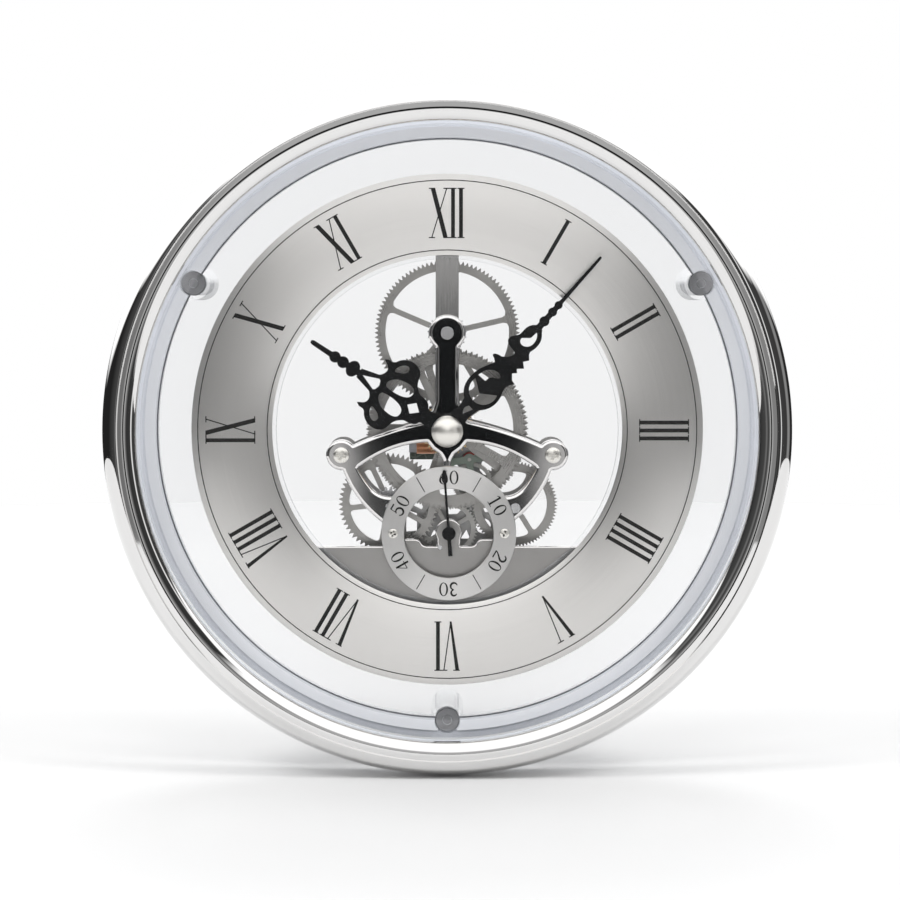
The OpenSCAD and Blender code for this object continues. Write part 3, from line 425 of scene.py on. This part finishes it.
def island_centres(node):
    """Centre, radius (mm) and place along Y (mm) of the front face of each separate solid of a node."""
    bm = cad_bmesh(node)
    todo, found = dict.fromkeys(bm.verts), []
    while todo:
        stack, island = [next(iter(todo))], []
        del todo[stack[0]]
        while stack:
            v = stack.pop()
            island.append(v)
            for e in v.link_edges:
                other = e.other_vert(v)
                if other in todo:
                    del todo[other]
                    stack.append(other)
        face = min(v.co.y for v in island)
        flat = [v.co for v in island if abs(v.co.y - face) < SAME_PLANE]
        mid = ((min(c.x for c in flat) + max(c.x for c in flat)) / 2,
               (min(c.z for c in flat) + max(c.z for c in flat)) / 2)
        reach = max(math.hypot(c.x - mid[0], c.z - mid[1]) for c in flat)
        found.append((mid, reach / MM, face / MM))
    bm.free()
    return found


# (x, z) of each threaded insert, in metres
INSERTS = [mid for mid, _, _ in island_centres("case_inserts")]

# ---- finishes ----

chrome = metal("chrome", (0.75, 0.745, 0.74), 0.03, spread=0.02, grain=0.03, smudge=40.0).mat
nut_chrome = metal("nut_chrome", (0.86, 0.84, 0.79), 0.3, spread=0.04, marks=(0, 0),
                   marks_scale=5000.0).mat
screw_metal = metal("screw_metal", (0.66, 0.65, 0.64), 0.2, marks_scale=6000.0).mat
bridge_metal = metal("bridge_metal", (0.80, 0.785, 0.775), 0.035, spread=0.04, grain=0.02).mat
cover_metal = metal("cover_metal", (0.39, 0.38, 0.37), 0.36, spread=0.06, grain=0.3,
                    grain_mm=0.01).mat
rear_metal = metal("rear_metal", (0.45, 0.445, 0.44), 0.32, spread=0.08).mat
brass = metal("brass", (0.80, 0.62, 0.36), 0.28, marks_scale=5000.0).mat
arbor_steel = metal("arbor_steel", (0.70, 0.70, 0.71), 0.22).mat
copper = metal("copper", (0.83, 0.42, 0.24), 0.32, spread=0.15).mat
iron = metal("iron", (0.45, 0.46, 0.48), 0.42, spread=0.15).mat


def satin_dial(name, centre, rgb, rough=0.34):
    """Aluminium brushed in circles, so its sheen fans out along each radius."""
    tree = Tree(name)
    fine = tree.rings(centre, 16000.0, 5.0)
    broad = tree.rings(centre, 1200.0, 3.0)
    tone = tree.maths("ADD", tree.maths("MULTIPLY", fine, 0.7), tree.maths("MULTIPLY", broad, 0.3))
    tree.plug(tree.tint(tree.remap(tone, 0, 1), shade(rgb, 0.95), shade(rgb, 1.04)),
              tree.bsdf.inputs["Base Color"])
    tree.plug(tree.remap(tone, rough * 0.9, rough * 1.15), tree.bsdf.inputs["Roughness"])
    tree.bump(fine, 0.10, 0.003)
    tree.set(Metallic=1.0, Anisotropic=0.8, Anisotropic_Rotation=0.25)
    tangent = tree.add("ShaderNodeTangent", direction_type="RADIAL", axis="Y")
    tree.plug(tangent.outputs["Tangent"], tree.bsdf.inputs["Tangent"])
    return tree.mat


def brushed_bar():
    """Steel brushed along the bar, so its sheen spreads across it."""
    tree = Tree("brushed_bar")
    stretch = tree.add("ShaderNodeMapping")
    stretch.inputs["Scale"].default_value = (9000.0, 9000.0, 250.0)
    tree.plug(tree.coords, stretch.inputs["Vector"])
    fine = tree.noise(1.0, 4.0, stretch.outputs["Vector"])
    tree.plug(tree.tint(tree.remap(fine, 0, 1), (0.55, 0.54, 0.53), (0.68, 0.67, 0.66)),
              tree.bsdf.inputs["Base Color"])
    tree.plug(tree.remap(fine, 0.09, 0.13), tree.bsdf.inputs["Roughness"])
    tree.bump(fine, 0.06, 0.004)
    tree.set(Metallic=1.0, Anisotropic=0.7, Anisotropic_Rotation=0.25)
    tangent = tree.add("ShaderNodeTangent", direction_type="RADIAL", axis="X")
    tree.plug(tangent.outputs["Tangent"], tree.bsdf.inputs["Tangent"])
    return tree.mat


def grey_with_painted_glow():
    """Grey plastic with a painted glow: paler towards the bezel, where the pale band round the dial passes over
    it.
    """
    tree = Tree("grey_moulding_painted_glow")
    glow_from, glow_full = 64.5 * MM, 65.1 * MM
    radius, _, _ = tree.about(ORIGIN)
    # painted glow: the grey is painted paler towards the bezel, to stand for the pale band round the dial seen
    # over the inserts
    under = tree.remap(radius, 0, 1, glow_from, glow_full)
    speck = tree.remap(tree.noise(900.0), 0.9, 1.1)
    tree.plug(tree.tint(under, (0.19, 0.19, 0.195), (0.30, 0.297, 0.305)),
              tree.bsdf.inputs["Base Color"])
    tree.plug(tree.maths("MULTIPLY", speck, 0.5), tree.bsdf.inputs["Roughness"])
    tree.bump(tree.noise(2500.0), 0.2, 0.02)
    return tree.mat


def gloss_black():
    """Black lacquer with a little dust."""
    tree = Tree("gloss_black")
    soft, fine = tree.noise(120.0, 4.0), tree.noise(2600.0, 2.0)
    tree.plug(tree.tint(tree.remap(soft, 0, 1), (0.002, 0.002, 0.002), (0.006, 0.0055, 0.0055)),
              tree.bsdf.inputs["Base Color"])
    tree.plug(tree.remap(soft, 0.16, 0.3), tree.bsdf.inputs["Roughness"])
    tree.bump(fine, 0.06, 0.004)
    tree.set(Specular_IOR_Level=0.25)
    return tree.mat


def laminate():
    """Green board with paler tracks under the lacquer."""
    tree = Tree("laminate")
    cells = tree.add("ShaderNodeTexVoronoi", feature="DISTANCE_TO_EDGE", distance="MANHATTAN")
    cells.inputs["Scale"].default_value = 420.0
    tree.plug(tree.coords, cells.inputs["Vector"])
    track = tree.maths("LESS_THAN", cells.outputs["Distance"], 0.08)
    tree.plug(tree.tint(track, (0.13, 0.17, 0.14), (0.22, 0.27, 0.22)),
              tree.bsdf.inputs["Base Color"])
    tree.plug(tree.remap(tree.noise(700.0), 0.3, 0.45), tree.bsdf.inputs["Roughness"])
    tree.bump(track, 0.3, 0.03)
    return tree.mat


print_ink_tree = plastic("print_ink", (0.014, 0.013, 0.012), 0.5, grain=0.1)
print_ink_tree.set(Specular_IOR_Level=0.2)
print_ink = print_ink_tree.mat
black_moulding = plastic("black_moulding", (0.035, 0.035, 0.038), 0.5, grain=0.4).mat
grey_moulding_painted_glow = grey_with_painted_glow()
nylon = plastic("nylon", (0.72, 0.71, 0.68), 0.42, grain=0.15).mat
green_moulding = plastic("green_moulding", (0.30, 0.36, 0.31), 0.45).mat
magnet_red = plastic("magnet_red", (0.42, 0.07, 0.06), 0.38).mat
sleeve = plastic("sleeve", (0.10, 0.12, 0.15), 0.25, grain=0.05).mat
glass = clear("glass", (0.16, 0.18, 0.20), 0.012, 0.02, edge=0.2).mat
case_clear = clear("case_clear", (0.45, 0.48, 0.54), 0.07).mat
ledge_frost = plastic("ledge_frost", (0.86, 0.88, 0.93), 0.4, spread=0.03, grain=0.1).mat
gasket_grey = clear("gasket_grey", (0.70, 0.73, 0.78), 0.75, 0.4).mat


def dial_plastic():
    """Clear, but frosted where the plate rests on the case's ledge, except over the three inserts."""
    tree = clear("dial_clear", (0.62, 0.64, 0.68), 0.045)
    seat_width, blur, window_r, frost_alpha = 2.5 * MM, 0.1 * MM, 2.75 * MM, 0.93
    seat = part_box("dial_plate")[1].x - seat_width
    radius, _, _ = tree.about(ORIGIN)
    frost = tree.remap(radius, 0, 1, seat, seat + blur)
    for insert in INSERTS:
        gap, _, _ = tree.about(insert)
        frost = tree.maths("MULTIPLY", frost, tree.remap(gap, 0, 1, window_r, window_r + blur))
    open_alpha = tree.bsdf.inputs["Alpha"].links[0].from_socket
    tree.plug(tree.maths("MAXIMUM", open_alpha, tree.maths("MULTIPLY", frost, frost_alpha)),
              tree.bsdf.inputs["Alpha"])
    tone = tree.maths("ADD", frost, tree.maths("MULTIPLY", tree.noise(900.0, 3.0), 0.06))
    tree.plug(tree.tint(tone, (0.61, 0.63, 0.67), (0.80, 0.815, 0.85)),
              tree.bsdf.inputs["Base Color"])
    return tree.mat


# ---- case ----

def box_mm(node):
    low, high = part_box(node)
    return low / MM, high / MM


def radii_mm(node, centre=ORIGIN):
    """The smallest and largest distance of the node's corners from a line along Y."""
    gaps = [math.hypot(v.co.x - centre[0], v.co.z - centre[1]) for v in NODES[node].data.vertices]
    return min(gaps) / MM, max(gaps) / MM


def bezel_piece():
    """Outer roll, narrow crest, flat facet and inner roll down to the glass, as one turned ring."""
    low, high = box_mm("bezel")
    rim, front, seat = min(high.x, -low.x, high.z, -low.z), low.y, high.y
    glass_low, glass_high = box_mm("front_glass")
    glass_y, glass_r = glass_low.y, glass_high.x
    groove = glass_r + 0.1
    lip = glass_r - 2.9
    widest_y = -3.6
    back_roll, front_roll, inner_drop = 3, 3.65, 1.35
    crest, facet_width, facet_depth = 0.12, 0.8, 0.7
    facet_out, crest_y = rim - 3.85, front + 0.3
    facet_in, facet_y = facet_out - facet_width, front + facet_depth
    profile = [(groove, seat), (rim - 1, seat)]
    profile += oval((rim - back_roll, widest_y), back_roll, -widest_y, 80, 10, 12)
    profile += oval((rim - front_roll, widest_y), front_roll, widest_y - front, 0, -90, 48)
    profile += [(facet_out + crest, crest_y), (facet_out, facet_y), (facet_in, facet_y)]
    profile += oval((facet_in, facet_y + inner_drop), facet_in - lip, inner_drop, -90, -180, 36)
    profile += [(lip, glass_y), (groove, glass_y)]
    return stands_for(lathe("bezel_look", profile, chrome, steps=384), "bezel")


bezel_piece()
edged("front_glass", glass, 0.2)
edged("glass_gasket", gasket_grey, 0.15)
edged("rear_case", case_clear, 0.3)


def ledge_piece():
    """The frosted face of the case's ledge, a ring behind the frosted rim of the dial plate."""
    plate_r, plate_back = box_mm("dial_plate")[1].x, box_mm("dial_plate")[1].y
    inner, outer = plate_r - 2.7, box_mm("rear_case")[1].x - 1.4
    front, thick = plate_back + 0.35, 0.3
    profile = [(inner, front), (outer, front), (outer, front + thick), (inner, front + thick)]
    return added(lathe("ledge_look", profile, ledge_frost), "rear_case")


ledge_piece()
edged("case_inserts", grey_moulding_painted_glow, 0.2)


def insert_face(i, centre):
    """The closed front of a blind insert, with a small chamfer."""
    front = box_mm("case_inserts")[0].y + 0.1
    r, chamfer, chamfer_y, thick = 1.05, 0.15, 0.12, 0.6
    profile = [(0, front), (r - chamfer, front), (r, front + chamfer_y), (r, front + thick),
               (0, front + thick)]
    return added(lathe("insert_face_%d" % i, profile, grey_moulding_painted_glow, centre, 48), "case_inserts")


for i, insert in enumerate(INSERTS):
    insert_face(i, insert)
edged("case_screws", screw_metal, 0.12)


def dial_plate_piece():
    """A hair thinner than the CAD plate, so that its faces don't lie in those it touches."""
    obj = edged("dial_plate", dial_plastic(), 0.3, 3)
    hair = 0.02 * MM
    front, back = (p.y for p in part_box("dial_plate"))
    for v in obj.data.vertices:
        v.co.y = min(max(v.co.y, front + hair), back - hair)
    return obj


dial_plate_piece()

# ---- dial ----

def chapter_ring_piece():
    low, high = box_mm("chapter_ring")
    inner, outer = radii_mm("chapter_ring")
    front, back = low.y, high.y
    bevel_y, inner_bevel, outer_bevel = 0.25, 0.7, 0.9
    profile = [(inner, back), (inner, front + bevel_y), (inner + inner_bevel, front),
               (outer - outer_bevel, front), (outer, front + bevel_y), (outer, back)]
    finish = satin_dial("dial_satin", ORIGIN, (0.79, 0.775, 0.755))
    return stands_for(lathe("chapter_ring_look", profile, finish, steps=256), "chapter_ring")


chapter_ring_piece()
edged("chapter_lines", print_ink, 0.01, 1)
edged("hour_numerals", print_ink, 0.01, 1)
seconds_centre = centre_of("seconds")


def seconds_dial_piece():
    low, high = box_mm("seconds_dial")
    inner, outer = radii_mm("seconds_dial", seconds_centre)
    soft = 0.12
    profile = [(inner, high.y), (inner, low.y + soft), (inner + soft, low.y),
               (outer - soft, low.y), (outer, low.y + soft), (outer, high.y)]
    finish = satin_dial("seconds_satin", seconds_centre, (0.70, 0.69, 0.68))
    obj = lathe("seconds_dial_look", profile, finish, seconds_centre, 192)
    return stands_for(obj, "seconds_dial")


seconds_dial_piece()
edged("seconds_numerals", print_ink, 0.01, 1)
edged("seconds_dial_screws", screw_metal, 0.08, 2)

# ---- frame ----

domed("front_bridge", bridge_metal, 0.8, 0.6)
edged("top_bar", brushed_bar(), 0.18, 3)
domed("lower_cover", cover_metal, 0.5, 0.4, steps=4, rim=bridge_metal)
edged("rear_plate", rear_metal, 0.12, 2)
for node in ("pillars", "pillar_screws", "frame_screws"):
    edged(node, screw_metal, 0.1, 2)
edged("arbor_bushes", brass, 0.08, 2)


def head_dome(name, node, centre, radius, seat, rise, turn=-20.0):
    """A domed screw head with a cross recess, set on the flat head of a CAD screw. In mm, apart from
    centre; turn is the cross's angle in degrees."""
    rings, spokes, slot, reach = 22, 72, 0.17 * radius, 0.62 * radius
    wall, below_seat, roundness = 0.08, 0.3, 0.96
    bm = bmesh.new()

    def height(x, z):
        a = math.radians(turn)
        u, v = x * math.cos(a) + z * math.sin(a), z * math.cos(a) - x * math.sin(a)
        r2 = (x * x + z * z) / radius ** 2
        top = rise * math.sqrt(max(0.0, 1 - roundness * r2))
        gap = min(max(abs(u) - slot, abs(v) - reach), max(abs(v) - slot, abs(u) - reach))
        cut = min(max(-gap / wall, 0.0), 1.0)
        return top - (rise + below_seat) * cut

    rows = [[bm.verts.new((centre[0], (seat - height(0, 0)) * MM, centre[1]))] * spokes]
    for i in range(1, rings + 1):
        r = radius * math.sin(math.pi / 2 * i / rings)
        row = []
        for j in range(spokes):
            x, z = r * math.cos(math.tau * j / spokes), r * math.sin(math.tau * j / spokes)
            row.append(bm.verts.new((centre[0] + x * MM, (seat - height(x, z)) * MM,
                                     centre[1] + z * MM)))
        rows.append(row)
    rows.append([bm.verts.new((v.co.x, seat * MM, v.co.z)) for v in rows[-1]])
    for a, b in zip(rows, rows[1:]):
        for j in range(spokes):
            k = (j + 1) % spokes
            bm.faces.new(list(dict.fromkeys((a[j], b[j], b[k], a[k]))))
    bm.faces.new(rows[-1])
    bmesh.ops.recalc_face_normals(bm, faces=bm.faces)
    return added(finish_mesh(bm, name, nut_chrome), node)


for node, rise in (("pillar_screws", 0.5), ("seconds_dial_screws", 0.2)):
    front_face = box_mm(node)[0].y
    for i, (mid, reach, face) in enumerate(island_centres(node)):
        if abs(face - front_face) < 0.1:
            head_dome("%s_dome_%d" % (node, i), node, mid, reach, face, rise)

# ---- hands and wheels ----

hand_black = gloss_black()
for node in ("minute_hand", "hour_hand", "seconds_hand"):
    edged(node, hand_black, 0.1, 3)

for body, node in (("minute", "centre_wheel"), ("hour", "hour_wheel"), ("top", "top_wheel"),
                   ("third", "third_wheel"), ("intermediate", "intermediate_wheel"),
                   ("reduction", "reduction_wheel"), ("idler", "idler_pinion")):
    finish = metal("wheel_" + body, (0.42, 0.41, 0.395), 0.3, spread=0.1, marks=centre_of(body))
    edged(node, finish.mat, 0.06, 2)
for node in ("seconds_wheel", "fifth_wheel", "rotor_pinion"):
    edged(node, nylon, 0.05, 2)
for node in ("cannon_pinion", "hour_pipe"):
    edged(node, brass, 0.06, 2)
for node in ("centre_arbor", "top_pinion", "third_pinion", "intermediate_pinion", "idler_stud",
             "seconds_pinion", "reduction_arbor", "fifth_pinion", "drive_posts"):
    edged(node, arbor_steel, 0.06, 2)


def cap_nut_piece():
    low, high = box_mm("cap_nut")
    r, back, front = high.x, high.y, low.y
    base = back - 0.8
    dome = oval((0, base), r, base - front, 0, -90, 28)
    profile = [(0, back), (r, back)] + dome[:-1] + [(0, front)]
    return stands_for(lathe("cap_nut_look", profile, nut_chrome, steps=128), "cap_nut")


cap_nut_piece()
edged("set_knob", black_moulding, 0.15, 3)

# ---- drive and power ----

edged("rotor_magnet", magnet_red, 0.1, 2)
edged("drive_cock", green_moulding, 0.12, 3)
edged("stator", iron, 0.05, 2)
edged("coil_core", iron, 0.05, 2)


def winding_piece():
    """The coil as one layer of real turns of wire."""
    low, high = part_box("coil_winding")
    mid_y, mid_z = (low.y + high.y) / 2, (low.z + high.z) / 2
    outer = (high.z - low.z) / 2
    wire_r = 0.11 * MM
    pitch = 2.05 * wire_r
    span = high.x - low.x - 2 * wire_r
    turns = int(span / pitch)
    curve = bpy.data.curves.new("coil_look", "CURVE")
    curve.dimensions = "3D"
    curve.bevel_depth = wire_r
    curve.bevel_resolution = 2
    per_turn = 24
    spline = curve.splines.new("POLY")
    spline.points.add(turns * per_turn)
    for i in range(turns * per_turn + 1):
        a = math.tau * i / per_turn
        x = low.x + wire_r + span * i / (turns * per_turn)
        spline.points[i].co = (x, mid_y + (outer - wire_r) * math.cos(a),
                               mid_z + (outer - wire_r) * math.sin(a), 1)
    obj = bpy.data.objects.new("coil_look", curve)
    bpy.context.collection.objects.link(obj)
    curve.materials.append(copper)
    bpy.context.view_layer.update()
    return stands_for(obj, "coil_winding")


winding_piece()
edged("circuit_board", laminate(), 0.08, 2)
edged("quartz_crystal", screw_metal, 0.2, 3)
edged("battery_box", black_moulding, 0.35, 3)
edged("battery_cell", sleeve, 0.4, 4)
edged("battery_contacts", screw_metal, 0.05, 1)

# ---- stage (in metres) ----

def floor_piece():
    """An oval of pale paper, just under the bezel."""
    half_width, half_depth, middle_y, gap = 0.62, 0.66, 0.1, 0.0002
    bm = bmesh.new()
    bmesh.ops.create_circle(bm, cap_ends=True, segments=96, radius=1.0)
    bmesh.ops.scale(bm, verts=bm.verts, vec=(half_width, half_depth, 1))
    bmesh.ops.translate(bm, verts=bm.verts, vec=(0, middle_y, cad_box[0].z - gap))
    tree = Tree("floor_paper")
    tone = tree.remap(tree.noise(8.0), 0, 1)
    tree.plug(tree.tint(tone, (0.61, 0.61, 0.612), (0.625, 0.625, 0.625)),
              tree.bsdf.inputs["Base Color"])
    tree.set(Roughness=0.7)
    floor = finish_mesh(bm, "floor", tree.mat, smooth=False)


floor_piece()


def studio_world():
    """A light tent for the gloss to mirror: a white ceiling that comes down behind the clock, pale
    towards the camera with the dark shapes of its lens and body, dark flags at the sides with
    bright strips in them, and white below the lens. Matt surfaces are lit evenly, and the camera
    itself sees plain white behind the clock."""
    world = bpy.data.worlds.new("tent")
    bpy.context.scene.world = world
    world.use_nodes = True
    nodes, links = world.node_tree.nodes, world.node_tree.links
    back = nodes["Background"]
    coords = nodes.new("ShaderNodeTexCoord").outputs["Generated"]
    split = nodes.new("ShaderNodeSeparateXYZ")
    links.new(coords, split.inputs[0])

    def maths(operation, a, b=0.0):
        node = nodes.new("ShaderNodeMath")
        node.operation = operation
        for value, socket in ((a, node.inputs[0]), (b, node.inputs[1])):
            if isinstance(value, bpy.types.NodeSocket):
                links.new(value, socket)
            else:
                socket.default_value = value
        return node.outputs[0]

    def blend(factor, a, b):
        node = nodes.new("ShaderNodeMix")
        for value, socket in zip((factor, a, b), (node.inputs[k] for k in ("Factor", "A", "B"))):
            if isinstance(value, bpy.types.NodeSocket):
                links.new(value, socket)
            else:
                socket.default_value = value
        return node.outputs["Result"]

    def spread(value, low, high):
        node = nodes.new("ShaderNodeMapRange")
        links.new(value, node.inputs["Value"])
        node.inputs["From Min"].default_value = low
        node.inputs["From Max"].default_value = high
        return node.outputs["Result"]

    def ramp(value, stops):
        node = nodes.new("ShaderNodeValToRGB")
        links.new(value, node.inputs[0])
        items = node.color_ramp.elements
        while len(items) < len(stops):
            items.new(0.5)
        for item, (place, level) in zip(items, stops):
            item.position = place
            item.color = (level, level, level, 1)
        return node.outputs[0]

    x, y, z = (split.outputs[k] for k in "XYZ")
    off_middle = maths("ABSOLUTE", x)
    azimuth = maths("DIVIDE", maths("ARCTAN2", off_middle, maths("MULTIPLY", y, -1.0)), math.pi)
    rise = maths("DIVIDE", maths("ARCSINE", z), math.pi / 2)
    in_front, on_right = maths("LESS_THAN", y, 0.0), maths("GREATER_THAN", x, 0.0)
    ceiling, body_level, lens_level, under_level = 1.4, 0.05, 0.004, 1.1
    matt_light, backdrop = 0.95, 1.0

    def deg(*stops):
        """Stops at degrees round from the camera's side (0) to the back (180)."""
        return [(place / 180, level) for place, level in stops]

    # how bright each side is round the horizon
    left = ramp(azimuth, deg((0, 0.52), (4, 0.5), (8, 0.14), (13, 0.05), (20, 0.2), (28, 0.07),
                             (60, 0.05), (90, 0.02), (180, 0.02)))
    right = ramp(azimuth, deg((0, 0.52), (4, 0.5), (9, 0.16), (14, 0.04), (34, 0.05), (37, 1.0),
                              (43, 1.0), (47, 0.06), (100, 0.05), (110, 0.3), (124, 0.3),
                              (135, 0.02), (180, 0.02)))
    side = blend(on_right, left, right)
    # how high the ceiling's lower edge is, as a share of the way up from the horizon
    left_edge = ramp(azimuth, deg((0, 0.085), (12, 0.10), (26, 0.25), (90, 0.25), (115, 0.12),
                                  (140, 0.03), (180, 0.0)))
    right_edge = ramp(azimuth, deg((0, 0.085), (12, 0.10), (26, 0.25), (95, 0.27), (125, 0.2),
                                   (155, 0.05), (180, 0.0)))
    edge = blend(on_right, left_edge, right_edge)
    over = spread(maths("SUBTRACT", rise, edge), -0.01, 0.03)
    tent = blend(over, side, ceiling)
    # the camera's lens and body, and the white below them, each with a soft edge
    off_z = maths("SUBTRACT", z, -0.036)
    off = maths("SQRT", maths("ADD", maths("MULTIPLY", x, x), maths("MULTIPLY", off_z, off_z)))
    lens = maths("MULTIPLY", spread(off, 0.046, 0.034), in_front)
    body = maths("MULTIPLY", spread(off_middle, 0.041, 0.030),
                 maths("MULTIPLY", spread(z, -0.118, -0.105), spread(z, -0.03, -0.05)))
    tent = blend(maths("MULTIPLY", body, in_front), tent, body_level)
    tent = blend(lens, tent, lens_level)
    under = maths("MULTIPLY", spread(z, -0.125, -0.145), spread(off_middle, 0.5, 0.3))
    tent = blend(maths("MULTIPLY", under, in_front), tent, under_level)
    path = nodes.new("ShaderNodeLightPath")
    tent = blend(path.outputs["Is Diffuse Ray"], tent, matt_light)
    links.new(blend(path.outputs["Is Camera Ray"], tent, backdrop), back.inputs["Strength"])
    back.inputs["Color"].default_value = (1, 1, 1, 1)


studio_world()


def softbox(name, place, size, power, aim=(0, 0, 0)):
    """A rectangular lamp that polished pieces don't mirror."""
    lamp = bpy.data.lights.new(name, "AREA")
    lamp.shape = "RECTANGLE"
    lamp.size, lamp.size_y = size
    lamp.energy = power
    obj = bpy.data.objects.new(name, lamp)
    obj.visible_glossy = False
    bpy.context.collection.objects.link(obj)
    obj.location = place
    obj.rotation_euler = (Vector(aim) - Vector(place)).to_track_quat("-Z", "Y").to_euler()
    return obj


softbox("key_left", (-0.8, -0.5, 1.0), (0.4, 0.4), 7.5)
softbox("key_right", (0.8, -0.5, 1.0), (0.4, 0.4), 7.5)
softbox("key_back", (0.0, 0.8, 1.0), (0.7, 0.4), 5.5, aim=(0, 0.3, -0.1))


def camera():
    """Three degrees above the clock's middle, on a lens that frames view_width at its distance."""
    distance, view_width, rise = 0.55, 0.1954, math.radians(3.0)
    plane = Vector((0, -0.005, 0))
    cam = bpy.data.cameras.new("camera")
    cam.sensor_width = 36.0
    cam.lens = cam.sensor_width * distance / view_width
    cam.clip_start = 0.01
    obj = bpy.data.objects.new("camera", cam)
    bpy.context.collection.objects.link(obj)
    obj.location = plane + Vector((0, -math.cos(rise), math.sin(rise))) * distance
    obj.rotation_euler = (plane - obj.location).to_track_quat("-Z", "Y").to_euler()
    # the clock stands 0.6 mm left of the picture's middle and 3.8 mm above it
    cam.shift_x, cam.shift_y = 0.608 * MM / view_width, -3.8 * MM / view_width
    bpy.context.scene.camera = obj


camera()
bpy.context.scene.view_settings.view_transform = "Standard"
